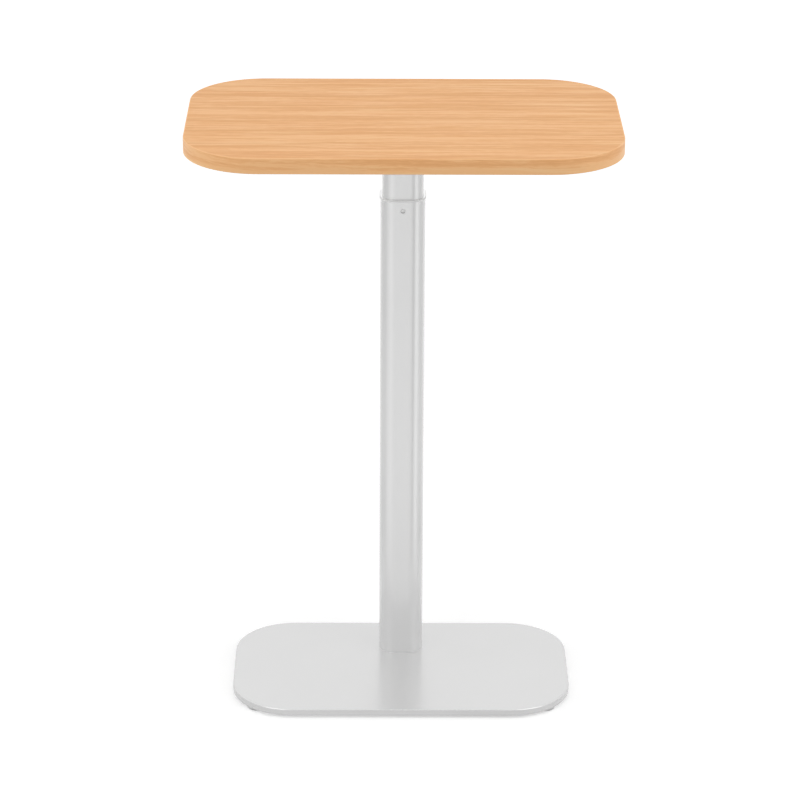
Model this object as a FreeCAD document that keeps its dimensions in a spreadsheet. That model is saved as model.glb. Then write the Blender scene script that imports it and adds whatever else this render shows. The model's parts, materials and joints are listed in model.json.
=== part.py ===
import FreeCAD, Part
import math
import os
import re
import Sketcher
from FreeCAD import Vector

# A telescoping pedestal table: a wood-faced top on a rounded-square inner tube that slides in an
# outer tube, which stands towards the back of a flat steel foot. A lockable gas spring inside the
# tubes carries the top, and a lever under the top presses the spring's release pin.
#
# Frame: X to the right, Y to the back, Z up, origin on the floor below the middle of the top.
# Everything is in millimetres, drawn at the height that the table is set to at rest.

DIMENSIONS = {
    # the whole table
    "table_height": 860.0,
    "column_setback": 72.0,
    "lift_raise": 265.0,
    "lift_lower": 75.0,
    "slide_clearance": 0.08,
    "fit_clearance": 0.05,
    # top: board, facing sheets and edge band
    "top_width": 600.0,
    "top_depth": 380.0,
    "top_thickness": 22.0,
    "top_corner": 105.0,
    "laminate_thickness": 0.8,
    "backer_thickness": 0.8,
    "band_thickness": 1.5,
    "band_edge_break": 0.8,
    # foot and its glides
    "base_width": 492.0,
    "base_depth": 284.0,
    "base_thickness": 10.0,
    "base_corner": 88.0,
    "base_edge_break": 0.8,
    "glide_height": 4.0,
    "glide_diameter": 25.0,
    "glide_edge_break": 0.8,
    "glide_margin": 1.2,
    "glide_shank_diameter": 8.0,
    "glide_shank_length": 7.0,
    # column tubes and their plastic guides
    "mouth_height": 725.5,
    "outer_tube_size": 64.0,
    "outer_tube_wall": 1.5,
    "outer_tube_corner": 22.0,
    "inner_tube_size": 59.0,
    "inner_tube_wall": 2.0,
    "tube_overlap": 190.0,
    "collar_skirt": 60.0,
    "collar_lip_height": 2.7,
    "collar_lip_overhang": 1.0,
    "collar_lip_break": 0.6,
    "lug_diameter": 6.0,
    "lug_drop": 13.5,
    "lug_recess": 0.1,
    "lug_clearance": 0.2,
    "slider_length": 60.0,
    "slider_foot": 2.5,
    "slider_lug_height": 20.0,
    # plates and bolts at the column's foot
    "foot_plate_thickness": 10.0,
    "foot_bolt_spacing": 38.0,
    "foot_bolt_diameter": 8.0,
    "foot_bolt_head": 15.0,
    "foot_bolt_rim": 0.5,
    "foot_bolt_recess": 0.3,
    "foot_bolt_length": 18.0,
    "foot_bolt_socket": 5.0,
    "foot_bolt_socket_depth": 3.0,
    "bolt_clearance": 0.5,
    "spring_bolt_diameter": 10.0,
    "spring_bolt_head": 16.0,
    "spring_bolt_head_height": 9.5,
    "spring_bolt_bite": 12.0,
    "spring_bolt_socket": 8.0,
    "spring_bolt_socket_depth": 5.0,
    "spring_bolt_access": 20.0,
    # gas spring
    "cylinder_diameter": 28.0,
    "cylinder_wall": 2.0,
    "cylinder_crimp": 2.0,
    "cylinder_edge_break": 1.2,
    "base_plug_length": 22.0,
    "guide_length": 24.0,
    "spring_end_margin": 4.0,
    "rod_diameter": 10.0,
    "rod_thread_show": 0.5,
    "pin_diameter": 4.0,
    "pin_clearance": 0.1,
    "pin_tip_break": 0.8,
    "pin_foot": 6.0,
    "pin_stand": 0.35,
    "piston_length": 20.0,
    "piston_clearance": 0.3,
    "seal_width": 4.0,
    "seal_depth": 2.5,
    "mount_plate_thickness": 8.0,
    "nut_height": 5.0,
    "nut_width": 17.0,
    # pressed plate under the top and its wood screws
    "top_plate_width": 260.0,
    "top_plate_depth": 240.0,
    "top_plate_thickness": 4.0,
    "top_plate_lip": 14.0,
    "top_plate_bend": 2.5,
    "top_plate_lip_round": 8.0,
    "top_plate_back": 60.0,
    "access_hole": 36.0,
    "screw_inset_side": 22.0,
    "screw_inset_end": 20.0,
    "screw_rows": 3,
    "screw_diameter": 4.5,
    "screw_head": 9.0,
    "screw_head_height": 2.8,
    "screw_bite": 13.0,
    # release lever, its bracket and pivot
    "pivot_drop": 17.0,
    "pivot_reach": 42.0,
    "pivot_diameter": 6.0,
    "pivot_head": 9.0,
    "pivot_head_height": 2.0,
    "pivot_tail": 3.0,
    "clip_thickness": 0.8,
    "clip_width": 2.2,
    "clip_groove": 0.8,
    "clip_gap": 3.2,
    "bracket_thickness": 3.0,
    "bracket_half_length": 9.0,
    "bracket_ear_drop": 8.5,
    "bracket_ear_round": 6.0,
    "bracket_bend": 2.0,
    "lever_thickness": 5.0,
    "lever_side_clearance": 0.3,
    "lever_slot_clearance": 1.5,
    "lever_nose": 5.0,
    "lever_nose_gap": 0.15,
    "lever_eye": 8.0,
    "lever_arm_height": 11.0,
    "lever_bend_reach": 30.0,
    "lever_bend_round": 12.0,
    "lever_swing": 4.1,
    "lever_reach": 235.0,
    "grip_length": 95.0,
    "grip_bite": 62.0,
    "grip_width": 36.0,
    "grip_neck_width": 24.0,
    "grip_tip_width": 30.0,
    "grip_thickness": 16.0,
    "grip_middle": 52.0,
    "grip_side_round": 90.0,
    "grip_tip_round": 12.0,
    "grip_rim_break": 4.0,
    "grip_clearance": 3.0,
}

# Levels and places that follow from the dimensions, as expressions of the sheet's aliases.
BASE_TOP = "(glide_height + base_thickness)"
FOOT_TOP = f"({BASE_TOP} + foot_plate_thickness)"
TUBE_TOP = "(mouth_height - collar_lip_height)"
UNDERSIDE = "(table_height - top_thickness)"
PLATE_UNDER = f"({UNDERSIDE} - top_plate_thickness)"
PIVOT_LEVEL = f"({PLATE_UNDER} - pivot_drop)"
PIN_TOP = f"({PIVOT_LEVEL} - lever_nose - lever_nose_gap)"
PIN_TRAVEL = "(pivot_reach * sin(lever_swing))"
ROD_TOP = f"({PIN_TOP} - {PIN_TRAVEL} - pin_stand)"
MOUNT_BOTTOM = f"({ROD_TOP} - rod_thread_show - nut_height - mount_plate_thickness)"
LOWER_NUT_BOTTOM = f"({MOUNT_BOTTOM} - nut_height)"
CYLINDER_TOP = f"({LOWER_NUT_BOTTOM} - lift_lower - spring_end_margin)"
GUIDE_BOTTOM = f"({CYLINDER_TOP} - cylinder_crimp - guide_length)"
PISTON_BOTTOM = f"({GUIDE_BOTTOM} - lift_raise - spring_end_margin - piston_length)"
INNER_BOTTOM = "(mouth_height - lift_raise - tube_overlap)"

OUTER_BORE = "(outer_tube_size - 2 * outer_tube_wall)"
OUTER_BORE_CORNER = "(outer_tube_corner - outer_tube_wall)"
INNER_CORNER = "(outer_tube_corner - (outer_tube_size - inner_tube_size) / 2)"
INNER_BORE = "(inner_tube_size - 2 * inner_tube_wall)"
INNER_BORE_CORNER = f"({INNER_CORNER} - inner_tube_wall)"
CYLINDER_BORE = "(cylinder_diameter / 2 - cylinder_wall)"
ROD_RADIUS = "(rod_diameter / 2)"
ROD_BORE = "(pin_diameter / 2 + pin_clearance)"

GLIDE_RING = "((base_corner - glide_margin - glide_diameter / 2) * sqrt(0.5))"
GLIDE_X = f"(base_width / 2 - base_corner + {GLIDE_RING})"
GLIDE_Y = f"(base_depth / 2 - base_corner + {GLIDE_RING})"

PLATE_CENTRE_Y = "(column_setback + top_plate_back - top_plate_depth / 2)"
LIP_DROP = "(top_plate_lip - top_plate_thickness)"
SCREW_X = "(top_plate_width / 2 - screw_inset_side)"
SCREW_Y = "(top_plate_depth / 2 - screw_inset_end)"

BRACKET_HALF_WIDTH = "(lever_thickness / 2 + lever_side_clearance + bracket_thickness)"
CLIP_SEAT = f"({BRACKET_HALF_WIDTH} + fit_clearance)"
GRIP_RISE = "((lever_reach - pivot_reach) * sin(lever_swing))"
GRIP_LEVEL = f"({UNDERSIDE} - {GRIP_RISE} - grip_clearance - grip_thickness / 2)"
GRIP_START = "(lever_reach - grip_length)"

DOC = FreeCAD.newDocument("pedestal_table")
SIZES = DOC.addObject("Spreadsheet::Sheet", "Sizes")
ALIAS = re.compile(r"\b(" + "|".join(DIMENSIONS) + r")\b")


# ---------------------------------------------------------------- sheet and expressions

def fill_sheet():
    """One row for each driving dimension: its name, and its value under that alias."""
    for row, (alias, value) in enumerate(DIMENSIONS.items(), start=1):
        SIZES.set(f"A{row}", alias)
        SIZES.set(f"B{row}", str(value))
        SIZES.setAlias(f"B{row}", alias)
    DOC.recompute()


def in_sheet(expression):
    """The expression with each alias written as the sheet's own cell."""
    return ALIAS.sub(r"Sizes.\1", expression)


def bind(item, prop, expression):
    """Ties a property to the sheet."""
    item.setExpression(prop, in_sheet(expression))


def number(expression):
    """What an expression of the sheet comes to, for drawing a sketch near its final size."""
    return float(SIZES.evalExpression(in_sheet(expression)))


# ---------------------------------------------------------------- bodies and sketches

def new_body(label, x="0", y="0", z="0"):
    """A sub-part, placed at its own natural point."""
    body = DOC.addObject("PartDesign::Body", label)
    body.Label = label
    bind(body, "Placement.Base.x", x)
    bind(body, "Placement.Base.y", y)
    bind(body, "Placement.Base.z", z)
    return body


def column_body(label, z):
    """A sub-part on the column's axis."""
    return new_body(label, y="column_setback", z=z)


def pivot_body(label, y="column_setback"):
    """A sub-part on the lever's pivot."""
    return new_body(label, x="pivot_reach", y=y, z=PIVOT_LEVEL)


def new_sketch(body, name, plane="XY_Plane", offset="0"):
    """A sketch on one of the body's own origin planes, moved along its normal."""
    sketch = body.newObject("Sketcher::SketchObject", f"{body.Label}_{name}_sketch")
    support = next(item for item in body.Origin.OriginFeatures if item.Role == plane)
    sketch.AttachmentSupport = [(support, "")]
    sketch.MapMode = "FlatFace"
    bind(sketch, "AttachmentOffset.Base.z", offset)
    return sketch


def name_constraint(sketch, constraint, name, expression):
    index = sketch.addConstraint(constraint)
    sketch.renameConstraint(index, name)
    bind(sketch, f"Constraints.{name}", expression)


def fix_point(sketch, name, item, point, across, up):
    """Ties one point of a sketch to its distances from the sketch's origin."""
    places = (("DistanceX", "across", across, -2), ("DistanceY", "up", up, -1))
    for kind, direction, expression, axis in places:
        if expression == "0":
            sketch.addConstraint(Sketcher.Constraint("PointOnObject", item, point, axis))
            continue
        distance = Sketcher.Constraint(kind, -1, 1, item, point, number(expression))
        name_constraint(sketch, distance, f"{name}_{direction}", expression)


def add_circle(sketch, name, radius, across="0", up="0"):
    centre = Vector(number(across), number(up), 0)
    item = sketch.addGeometry(Part.Circle(centre, Vector(0, 0, 1), number(radius)))
    fix_point(sketch, name, item, 3, across, up)
    size = Sketcher.Constraint("Radius", item, number(radius))
    name_constraint(sketch, size, f"{name}_radius", radius)


def add_outline(sketch, name, corners):
    """A closed outline of straight lines through corners given as pairs of expressions."""
    points = [Vector(number(across), number(up), 0) for across, up in corners]
    lines = []
    for index, start in enumerate(points):
        end = points[(index + 1) % len(points)]
        lines.append(sketch.addGeometry(Part.LineSegment(start, end)))
    for index, line in enumerate(lines):
        following = lines[(index + 1) % len(lines)]
        sketch.addConstraint(Sketcher.Constraint("Coincident", line, 2, following, 1))
        across, up = corners[index]
        fix_point(sketch, f"{name}{index}", line, 1, across, up)


def add_rectangle(sketch, name, left, right, low, high):
    add_outline(sketch, name, ((left, low), (right, low), (right, high), (left, high)))


def add_rounded_rectangle(sketch, name, width, depth, radius):
    """Four corner arcs joined by four tangent sides, centred on the sketch's origin."""
    half_width, half_depth, corner = number(width) / 2, number(depth) / 2, number(radius)
    across, up = half_width - corner, half_depth - corner
    arcs = []
    for quarter, (x, y) in enumerate(((across, up), (-across, up), (-across, -up), (across, -up))):
        circle = Part.Circle(Vector(x, y, 0), Vector(0, 0, 1), corner)
        start = quarter * math.pi / 2
        arcs.append(sketch.addGeometry(Part.ArcOfCircle(circle, start, start + math.pi / 2)))
    ends = (((across, half_depth), (-across, half_depth)), ((-half_width, up), (-half_width, -up)),
            ((-across, -half_depth), (across, -half_depth)), ((half_width, -up), (half_width, up)))
    sides = [sketch.addGeometry(Part.LineSegment(Vector(*start, 0), Vector(*end, 0)))
             for start, end in ends]
    for index, side in enumerate(sides):
        following = arcs[(index + 1) % 4]
        sketch.addConstraint(Sketcher.Constraint("Tangent", arcs[index], 2, side, 1))
        sketch.addConstraint(Sketcher.Constraint("Tangent", side, 2, following, 1))
        direction = "Horizontal" if index % 2 == 0 else "Vertical"
        sketch.addConstraint(Sketcher.Constraint(direction, side))
    for arc in arcs[1:]:
        sketch.addConstraint(Sketcher.Constraint("Equal", arcs[0], arc))
    sketch.addConstraint(Sketcher.Constraint("Symmetric", arcs[0], 3, arcs[2], 3, -1, 1))
    sizes = (("radius", Sketcher.Constraint("Radius", arcs[0], corner), radius),
             ("width", Sketcher.Constraint("DistanceX", sides[1], 1, sides[3], 1, 2 * half_width), width),
             ("depth", Sketcher.Constraint("DistanceY", sides[2], 1, sides[0], 1, 2 * half_depth), depth))
    for size_name, constraint, expression in sizes:
        name_constraint(sketch, constraint, f"{name}_{size_name}", expression)


def add_hexagon(sketch, name, across_flats):
    """A regular hexagon about the sketch's origin, two of its flats level."""
    corners = []
    for index in range(6):
        turn = 60 * index
        corners.append((f"{across_flats} / sqrt(3) * cos({turn})",
                        f"{across_flats} / sqrt(3) * sin({turn})"))
    corners[0] = (f"{across_flats} / sqrt(3)", "0")
    corners[3] = (f"-{across_flats} / sqrt(3)", "0")
    add_outline(sketch, name, corners)


# ---------------------------------------------------------------- features

def new_feature(body, kind, name, sketch):
    feature = body.newObject(f"PartDesign::{kind}", f"{body.Label}_{name}")
    feature.Profile = sketch
    sketch.Visibility = False
    return feature


def pad(body, sketch, name, length, both_ways=False, reverse=False):
    """Adds the sketch's area drawn out along its normal."""
    feature = new_feature(body, "Pad", name, sketch)
    bind(feature, "Length", length)
    feature.Reversed = reverse
    if both_ways:
        feature.SideType = "Symmetric"
    return feature


def cut(body, sketch, name, length=None, both_ways=False, along_normal=False):
    """Takes the sketch's area away, for a length or right through."""
    feature = new_feature(body, "Pocket", name, sketch)
    if length is None:
        feature.Type = "ThroughAll"
    else:
        bind(feature, "Length", length)
    if both_ways:
        feature.SideType = "Symmetric"
    feature.Reversed = along_normal
    return feature


def revolve(body, sketch, name):
    """Turns the sketch's area a full turn about the sketch's upright axis."""
    feature = new_feature(body, "Revolution", name, sketch)
    feature.ReferenceAxis = (sketch, ["V_Axis"])
    feature.Angle = 360
    return feature


def repeat(body, sketch, name, features, axis, count, length, second=None):
    """Copies features along one axis of a sketch, and where given along a second one."""
    pattern = body.newObject("PartDesign::LinearPattern", f"{body.Label}_{name}")
    pattern.Originals = features
    pattern.Direction = (sketch, [axis])
    bind(pattern, "Length", length)
    bind(pattern, "Occurrences", count)
    if second:
        second_axis, second_count, second_length = second
        pattern.Direction2 = (sketch, [second_axis])
        bind(pattern, "Length2", second_length)
        bind(pattern, "Occurrences2", second_count)
    body.Tip = pattern
    return pattern


def dress(body, kind, name, base, size, chosen):
    """A fillet or chamfer on the edges of the last feature that the test picks."""
    DOC.recompute()
    edges = [f"Edge{index}" for index, edge in enumerate(base.Shape.Edges, start=1) if chosen(edge)]
    feature = body.newObject(f"PartDesign::{kind}", f"{body.Label}_{name}")
    feature.Base = (base, edges)
    bind(feature, "Radius" if kind == "Fillet" else "Size", size)
    return feature


def near(first, second):
    return abs(first - second) < 1e-4


def level_edge(*levels):
    """Picks edges that lie level at one of the given heights."""
    heights = [number(level) for level in levels]
    return lambda edge: any(near(edge.BoundBox.ZMin, height) and near(edge.BoundBox.ZMax, height)
                            for height in heights)


def upright_edge(across):
    """Picks straight upright edges at one place across."""
    place = number(across)
    return lambda edge: (edge.BoundBox.ZLength > 1e-4 and near(edge.BoundBox.XMin, place)
                         and near(edge.BoundBox.XMax, place))


def straight_edge(direction, **places):
    """Picks straight edges along X, Y or Z, at the given absolute places on the other axes."""
    def chosen(edge):
        if len(edge.Vertexes) != 2 or edge.Curve.TypeId != "Part::GeomLine":
            return False
        start, end = edge.Vertexes[0].Point, edge.Vertexes[1].Point
        along = (end - start).normalize()
        if not near(abs(getattr(along, direction)), 1):
            return False
        return all(near(getattr(start, axis), place) or near(getattr(start, axis), -place)
                   for axis, place in places.items())
    return chosen


# ---------------------------------------------------------------- foot

def make_base_plate():
    """Flat steel foot, its bottom at the glides' tops, holes for the bolts and the glides."""
    body = new_body("base_plate", z="glide_height")
    outline = new_sketch(body, "outline")
    add_rounded_rectangle(outline, "plate", "base_width", "base_depth", "base_corner")
    plate = pad(body, outline, "plate", "base_thickness")
    dress(body, "Chamfer", "edges", plate, "base_edge_break", level_edge("0", "base_thickness"))

    access = new_sketch(body, "access")
    add_circle(access, "bolt", "spring_bolt_access / 2", up="column_setback")
    cut(body, access, "spring_bolt_access", along_normal=True)

    socket = new_sketch(body, "socket")
    add_circle(socket, "shank", "glide_shank_diameter / 2 + fit_clearance",
               across=f"-{GLIDE_X}", up=f"-{GLIDE_Y}")
    hole = cut(body, socket, "glide_socket", "glide_shank_length + fit_clearance", along_normal=True)
    sockets = repeat(body, socket, "glide_sockets", [hole], "H_Axis", "2", f"2 * {GLIDE_X}",
                     ("V_Axis", "2", f"2 * {GLIDE_Y}"))
    DOC.recompute()

    bolt_place = new_sketch(body, "bolt_place")
    add_circle(bolt_place, "bolt", "foot_bolt_diameter / 2",
               across="-foot_bolt_spacing / 2", up="column_setback - foot_bolt_spacing / 2")
    bolt_hole = new_feature(body, "Hole", "bolt_hole", bolt_place)
    DOC.recompute()
    bolt_hole.Threaded = False
    bolt_hole.Reversed = True
    bolt_hole.DepthType = "ThroughAll"
    bolt_hole.HoleCutType = "Countersink"
    bolt_hole.HoleCutCustomValues = True
    bolt_hole.HoleCutCountersinkAngle = 90
    bind(bolt_hole, "Diameter", "foot_bolt_diameter + bolt_clearance")
    bind(bolt_hole, "HoleCutDiameter",
         "foot_bolt_head + 2 * (foot_bolt_recess + foot_bolt_rim + fit_clearance)")
    DOC.recompute()
    repeat(body, bolt_place, "bolt_holes", [bolt_hole], "H_Axis", "2", "foot_bolt_spacing",
           ("V_Axis", "2", "foot_bolt_spacing"))
    return body


def make_glide(label, side, end):
    """Plastic glide: a disc on the floor with a shank pressed up into the foot."""
    body = new_body(label, x=f"{side} * {GLIDE_X}", y=f"{end} * {GLIDE_Y}")
    profile = new_sketch(body, "profile", "XZ_Plane")
    rim = "glide_diameter / 2"
    shank = "glide_shank_diameter / 2"
    reach = "glide_height + glide_shank_length"
    add_outline(profile, "half", (
        ("0", "0"), (f"{rim} - glide_edge_break", "0"), (rim, "glide_edge_break"),
        (rim, "glide_height"), (shank, "glide_height"), (shank, reach), ("0", reach)))
    revolve(body, profile, "disc")
    return body


def make_foot_plate():
    """Plate welded in the bottom of the outer tube, tapped for the foot bolts."""
    body = column_body("foot_plate", BASE_TOP)
    outline = new_sketch(body, "outline")
    add_rounded_rectangle(outline, "plate", f"{OUTER_BORE} - 2 * fit_clearance",
                          f"{OUTER_BORE} - 2 * fit_clearance", f"{OUTER_BORE_CORNER} - fit_clearance")
    pad(body, outline, "plate", "foot_plate_thickness")
    middle = new_sketch(body, "middle")
    add_circle(middle, "bolt", "(spring_bolt_diameter + bolt_clearance) / 2")
    cut(body, middle, "spring_bolt_hole", along_normal=True)
    tapped = new_sketch(body, "tapped")
    add_circle(tapped, "bolt", "foot_bolt_diameter / 2 + fit_clearance",
               across="-foot_bolt_spacing / 2", up="-foot_bolt_spacing / 2")
    hole = cut(body, tapped, "tapped_hole", along_normal=True)
    repeat(body, tapped, "tapped_holes", [hole], "H_Axis", "2", "foot_bolt_spacing",
           ("V_Axis", "2", "foot_bolt_spacing"))
    return body


def make_foot_bolts():
    """Four countersunk bolts with hexagon sockets, heads just inside the foot's underside."""
    body = new_body("foot_bolts", x="-foot_bolt_spacing / 2",
                    y="column_setback - foot_bolt_spacing / 2", z="glide_height + foot_bolt_recess")
    profile = new_sketch(body, "profile", "XZ_Plane")
    head = "foot_bolt_head / 2"
    shank = "foot_bolt_diameter / 2"
    add_outline(profile, "half", (
        ("0", "0"), (head, "0"), (head, "foot_bolt_rim"),
        (shank, f"foot_bolt_rim + {head} - {shank}"), (shank, "foot_bolt_length"),
        ("0", "foot_bolt_length")))
    bolt = revolve(body, profile, "bolt")
    socket = new_sketch(body, "socket")
    add_hexagon(socket, "key", "foot_bolt_socket")
    recess = cut(body, socket, "socket", "foot_bolt_socket_depth", along_normal=True)
    repeat(body, socket, "bolts", [bolt, recess], "H_Axis", "2", "foot_bolt_spacing",
           ("V_Axis", "2", "foot_bolt_spacing"))
    return body


# ---------------------------------------------------------------- column tubes and guides

def make_outer_tube():
    """Rounded-square tube that stands on the foot, a hole front and back for the collar's lugs."""
    body = column_body("outer_tube", BASE_TOP)
    section = new_sketch(body, "section")
    add_rounded_rectangle(section, "outside", "outer_tube_size", "outer_tube_size", "outer_tube_corner")
    add_rounded_rectangle(section, "bore", OUTER_BORE, OUTER_BORE, OUTER_BORE_CORNER)
    pad(body, section, "wall", f"{TUBE_TOP} - {BASE_TOP}")
    lug_hole = new_sketch(body, "lug_hole", "XZ_Plane")
    add_circle(lug_hole, "lug", "lug_diameter / 2 + lug_clearance",
               up=f"{TUBE_TOP} - {BASE_TOP} - lug_drop")
    cut(body, lug_hole, "lug_holes", both_ways=True)
    return body


def make_guide_collar():
    """Plastic bush in the outer tube's mouth: skirt, lip over the tube's end and two snap lugs."""
    body = column_body("guide_collar", TUBE_TOP)
    skirt_size = f"{OUTER_BORE} - 2 * fit_clearance"
    skirt = new_sketch(body, "skirt")
    add_rounded_rectangle(skirt, "skirt", skirt_size, skirt_size, f"{OUTER_BORE_CORNER} - fit_clearance")
    pad(body, skirt, "skirt", "collar_skirt", reverse=True)
    lip = new_sketch(body, "lip")
    lip_size = "outer_tube_size + 2 * collar_lip_overhang"
    add_rounded_rectangle(lip, "lip", lip_size, lip_size, "outer_tube_corner + collar_lip_overhang")
    ring = pad(body, lip, "lip", "collar_lip_height")
    dress(body, "Chamfer", "lip_edge", ring, "collar_lip_break", level_edge("collar_lip_height"))
    lug = new_sketch(body, "lug", "XZ_Plane")
    add_circle(lug, "lug", "lug_diameter / 2", up="-lug_drop")
    pad(body, lug, "lugs", "outer_tube_size - 2 * lug_recess", both_ways=True)
    bore = new_sketch(body, "bore", offset="collar_lip_height")
    bore_size = "inner_tube_size + 2 * slide_clearance"
    add_rounded_rectangle(bore, "bore", bore_size, bore_size, f"{INNER_CORNER} + slide_clearance")
    cut(body, bore, "bore")
    ramp = new_sketch(body, "ramp", "YZ_Plane")
    ramp_foot = "-lug_drop - lug_diameter / 2 - lug_clearance"
    for name, side in (("front", "-"), ("back", "")):
        face = f"{side}outer_tube_size / 2"
        root = f"{side}({OUTER_BORE} / 2 - fit_clearance)"
        add_outline(ramp, name, ((face, "-lug_drop"), (face, ramp_foot), (root, ramp_foot)))
    cut(body, ramp, "lug_ramps", "lug_diameter + 2 * lug_clearance", both_ways=True)
    return body


def make_inner_tube():
    """Rounded-square tube under the top, with a slot for the lever and holes for the slider."""
    body = column_body("inner_tube", INNER_BOTTOM)
    section = new_sketch(body, "section")
    add_rounded_rectangle(section, "outside", "inner_tube_size", "inner_tube_size", INNER_CORNER)
    add_rounded_rectangle(section, "bore", INNER_BORE, INNER_BORE, INNER_BORE_CORNER)
    pad(body, section, "wall", f"{PLATE_UNDER} - {INNER_BOTTOM}")
    slot = new_sketch(body, "slot", "YZ_Plane")
    half_width = "(lever_thickness / 2 + lever_slot_clearance)"
    half_height = "(lever_nose + lever_slot_clearance)"
    centre = f"({PIVOT_LEVEL} - {INNER_BOTTOM})"
    add_rectangle(slot, "slot", f"-{half_width}", half_width,
                  f"{centre} - {half_height}", f"{centre} + {half_height}")
    cut(body, slot, "lever_slot", "inner_tube_size", along_normal=True)
    lug_hole = new_sketch(body, "lug_hole", "XZ_Plane")
    add_circle(lug_hole, "lug", "lug_diameter / 2 + fit_clearance", up="slider_lug_height")
    cut(body, lug_hole, "slider_lug_holes", both_ways=True)
    return body


def make_lower_slider():
    """Plastic slider round the inner tube's lower end, with a foot under it and two lugs in it."""
    body = column_body("lower_slider", f"{INNER_BOTTOM} - slider_foot")
    outside = new_sketch(body, "outside")
    size = f"{OUTER_BORE} - 2 * slide_clearance"
    add_rounded_rectangle(outside, "outside", size, size, f"{OUTER_BORE_CORNER} - slide_clearance")
    pad(body, outside, "block", "slider_length")
    seat = new_sketch(body, "seat", offset="slider_foot")
    seat_size = "inner_tube_size + 2 * fit_clearance"
    add_rounded_rectangle(seat, "seat", seat_size, seat_size, f"{INNER_CORNER} + fit_clearance")
    cut(body, seat, "tube_seat", along_normal=True)
    lug = new_sketch(body, "lug", "XZ_Plane")
    add_circle(lug, "lug", "lug_diameter / 2", up="slider_foot + slider_lug_height")
    pad(body, lug, "lugs", "inner_tube_size + 4 * fit_clearance", both_ways=True)
    opening = new_sketch(body, "opening")
    add_rounded_rectangle(opening, "opening", INNER_BORE, INNER_BORE, INNER_BORE_CORNER)
    cut(body, opening, "opening", along_normal=True)
    return body


# ---------------------------------------------------------------- gas spring

def make_turned(label, level, corners):
    """A sub-part turned about the column's axis from one half outline."""
    body = column_body(label, level)
    profile = new_sketch(body, "profile", "XZ_Plane")
    add_outline(profile, "half", corners)
    revolve(body, profile, "turned")
    return body


def make_gas_cylinder():
    """Pressure tube on the foot plate, its top rolled in over the rod guide."""
    height = f"({CYLINDER_TOP} - {FOOT_TOP})"
    outside = "cylinder_diameter / 2"
    mouth = f"({CYLINDER_BORE} - cylinder_crimp)"
    return make_turned("gas_cylinder", FOOT_TOP, (
        (CYLINDER_BORE, "0"), (outside, "0"), (outside, f"{height} - cylinder_edge_break"),
        (f"{outside} - cylinder_edge_break", height), (mouth, height),
        (mouth, f"{height} - cylinder_crimp"), (CYLINDER_BORE, f"{height} - cylinder_crimp")))


def make_cylinder_base_plug():
    """End plug in the bottom of the pressure tube, threaded for the bolt from below."""
    thread = "(spring_bolt_diameter / 2 + fit_clearance)"
    depth = "(spring_bolt_bite + bolt_clearance)"
    rim = f"({CYLINDER_BORE} - fit_clearance)"
    return make_turned("cylinder_base_plug", FOOT_TOP, (
        (thread, "0"), (rim, "0"), (rim, "base_plug_length"), ("0", "base_plug_length"),
        ("0", depth), (thread, depth)))


def make_cylinder_guide():
    """Rod guide and seal carrier under the rolled mouth of the pressure tube."""
    bore = f"({ROD_RADIUS} + slide_clearance)"
    rim = f"({CYLINDER_BORE} - fit_clearance)"
    return make_turned("cylinder_guide", GUIDE_BOTTOM, (
        (bore, "0"), (rim, "0"), (rim, "guide_length"), (bore, "guide_length")))


def make_gas_spring_bolt():
    """Socket-head bolt through the foot plate into the plug, its head inside the foot."""
    head = "spring_bolt_head / 2"
    shank = "spring_bolt_diameter / 2"
    reach = "(spring_bolt_head_height + foot_plate_thickness + spring_bolt_bite)"
    body = make_turned("gas_spring_bolt", f"{BASE_TOP} - spring_bolt_head_height", (
        ("0", "0"), (head, "0"), (head, "spring_bolt_head_height"),
        (shank, "spring_bolt_head_height"), (shank, reach), ("0", reach)))
    socket = new_sketch(body, "socket")
    add_hexagon(socket, "key", "spring_bolt_socket")
    cut(body, socket, "socket", "spring_bolt_socket_depth", along_normal=True)
    return body


def make_piston_rod():
    """Hollow rod from the piston up through its mounting plate."""
    height = f"({ROD_TOP} - {PISTON_BOTTOM})"
    return make_turned("piston_rod", PISTON_BOTTOM, (
        (ROD_BORE, "0"), (ROD_RADIUS, "0"), (ROD_RADIUS, height), (ROD_BORE, height)))


def make_piston():
    """Piston on the rod's lower end, with a groove for its seal."""
    bore = f"({ROD_RADIUS} + fit_clearance)"
    rim = f"({CYLINDER_BORE} - piston_clearance)"
    floor = f"({CYLINDER_BORE} - seal_depth)"
    low = "((piston_length - seal_width) / 2)"
    high = "((piston_length + seal_width) / 2)"
    return make_turned("piston", PISTON_BOTTOM, (
        (bore, "0"), (rim, "0"), (rim, low), (floor, low), (floor, high), (rim, high),
        (rim, "piston_length"), (bore, "piston_length")))


def make_piston_seal():
    """Seal ring in the piston's groove."""
    inside = f"({CYLINDER_BORE} - seal_depth + fit_clearance)"
    outside = f"({CYLINDER_BORE} - slide_clearance)"
    low = "((piston_length - seal_width) / 2 + fit_clearance)"
    high = "((piston_length + seal_width) / 2 - fit_clearance)"
    return make_turned("piston_seal", PISTON_BOTTOM, (
        (inside, low), (outside, low), (outside, high), (inside, high)))


def make_release_pin():
    """Pin down the hollow rod to the valve in the piston, its tip under the lever's nose."""
    radius = "pin_diameter / 2"
    height = f"({PIN_TOP} - {PISTON_BOTTOM} - pin_foot)"
    return make_turned("release_pin", f"{PISTON_BOTTOM} + pin_foot", (
        ("0", "0"), (radius, "0"), (radius, f"{height} - pin_tip_break"),
        (f"{radius} - pin_tip_break", height), ("0", height)))


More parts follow.
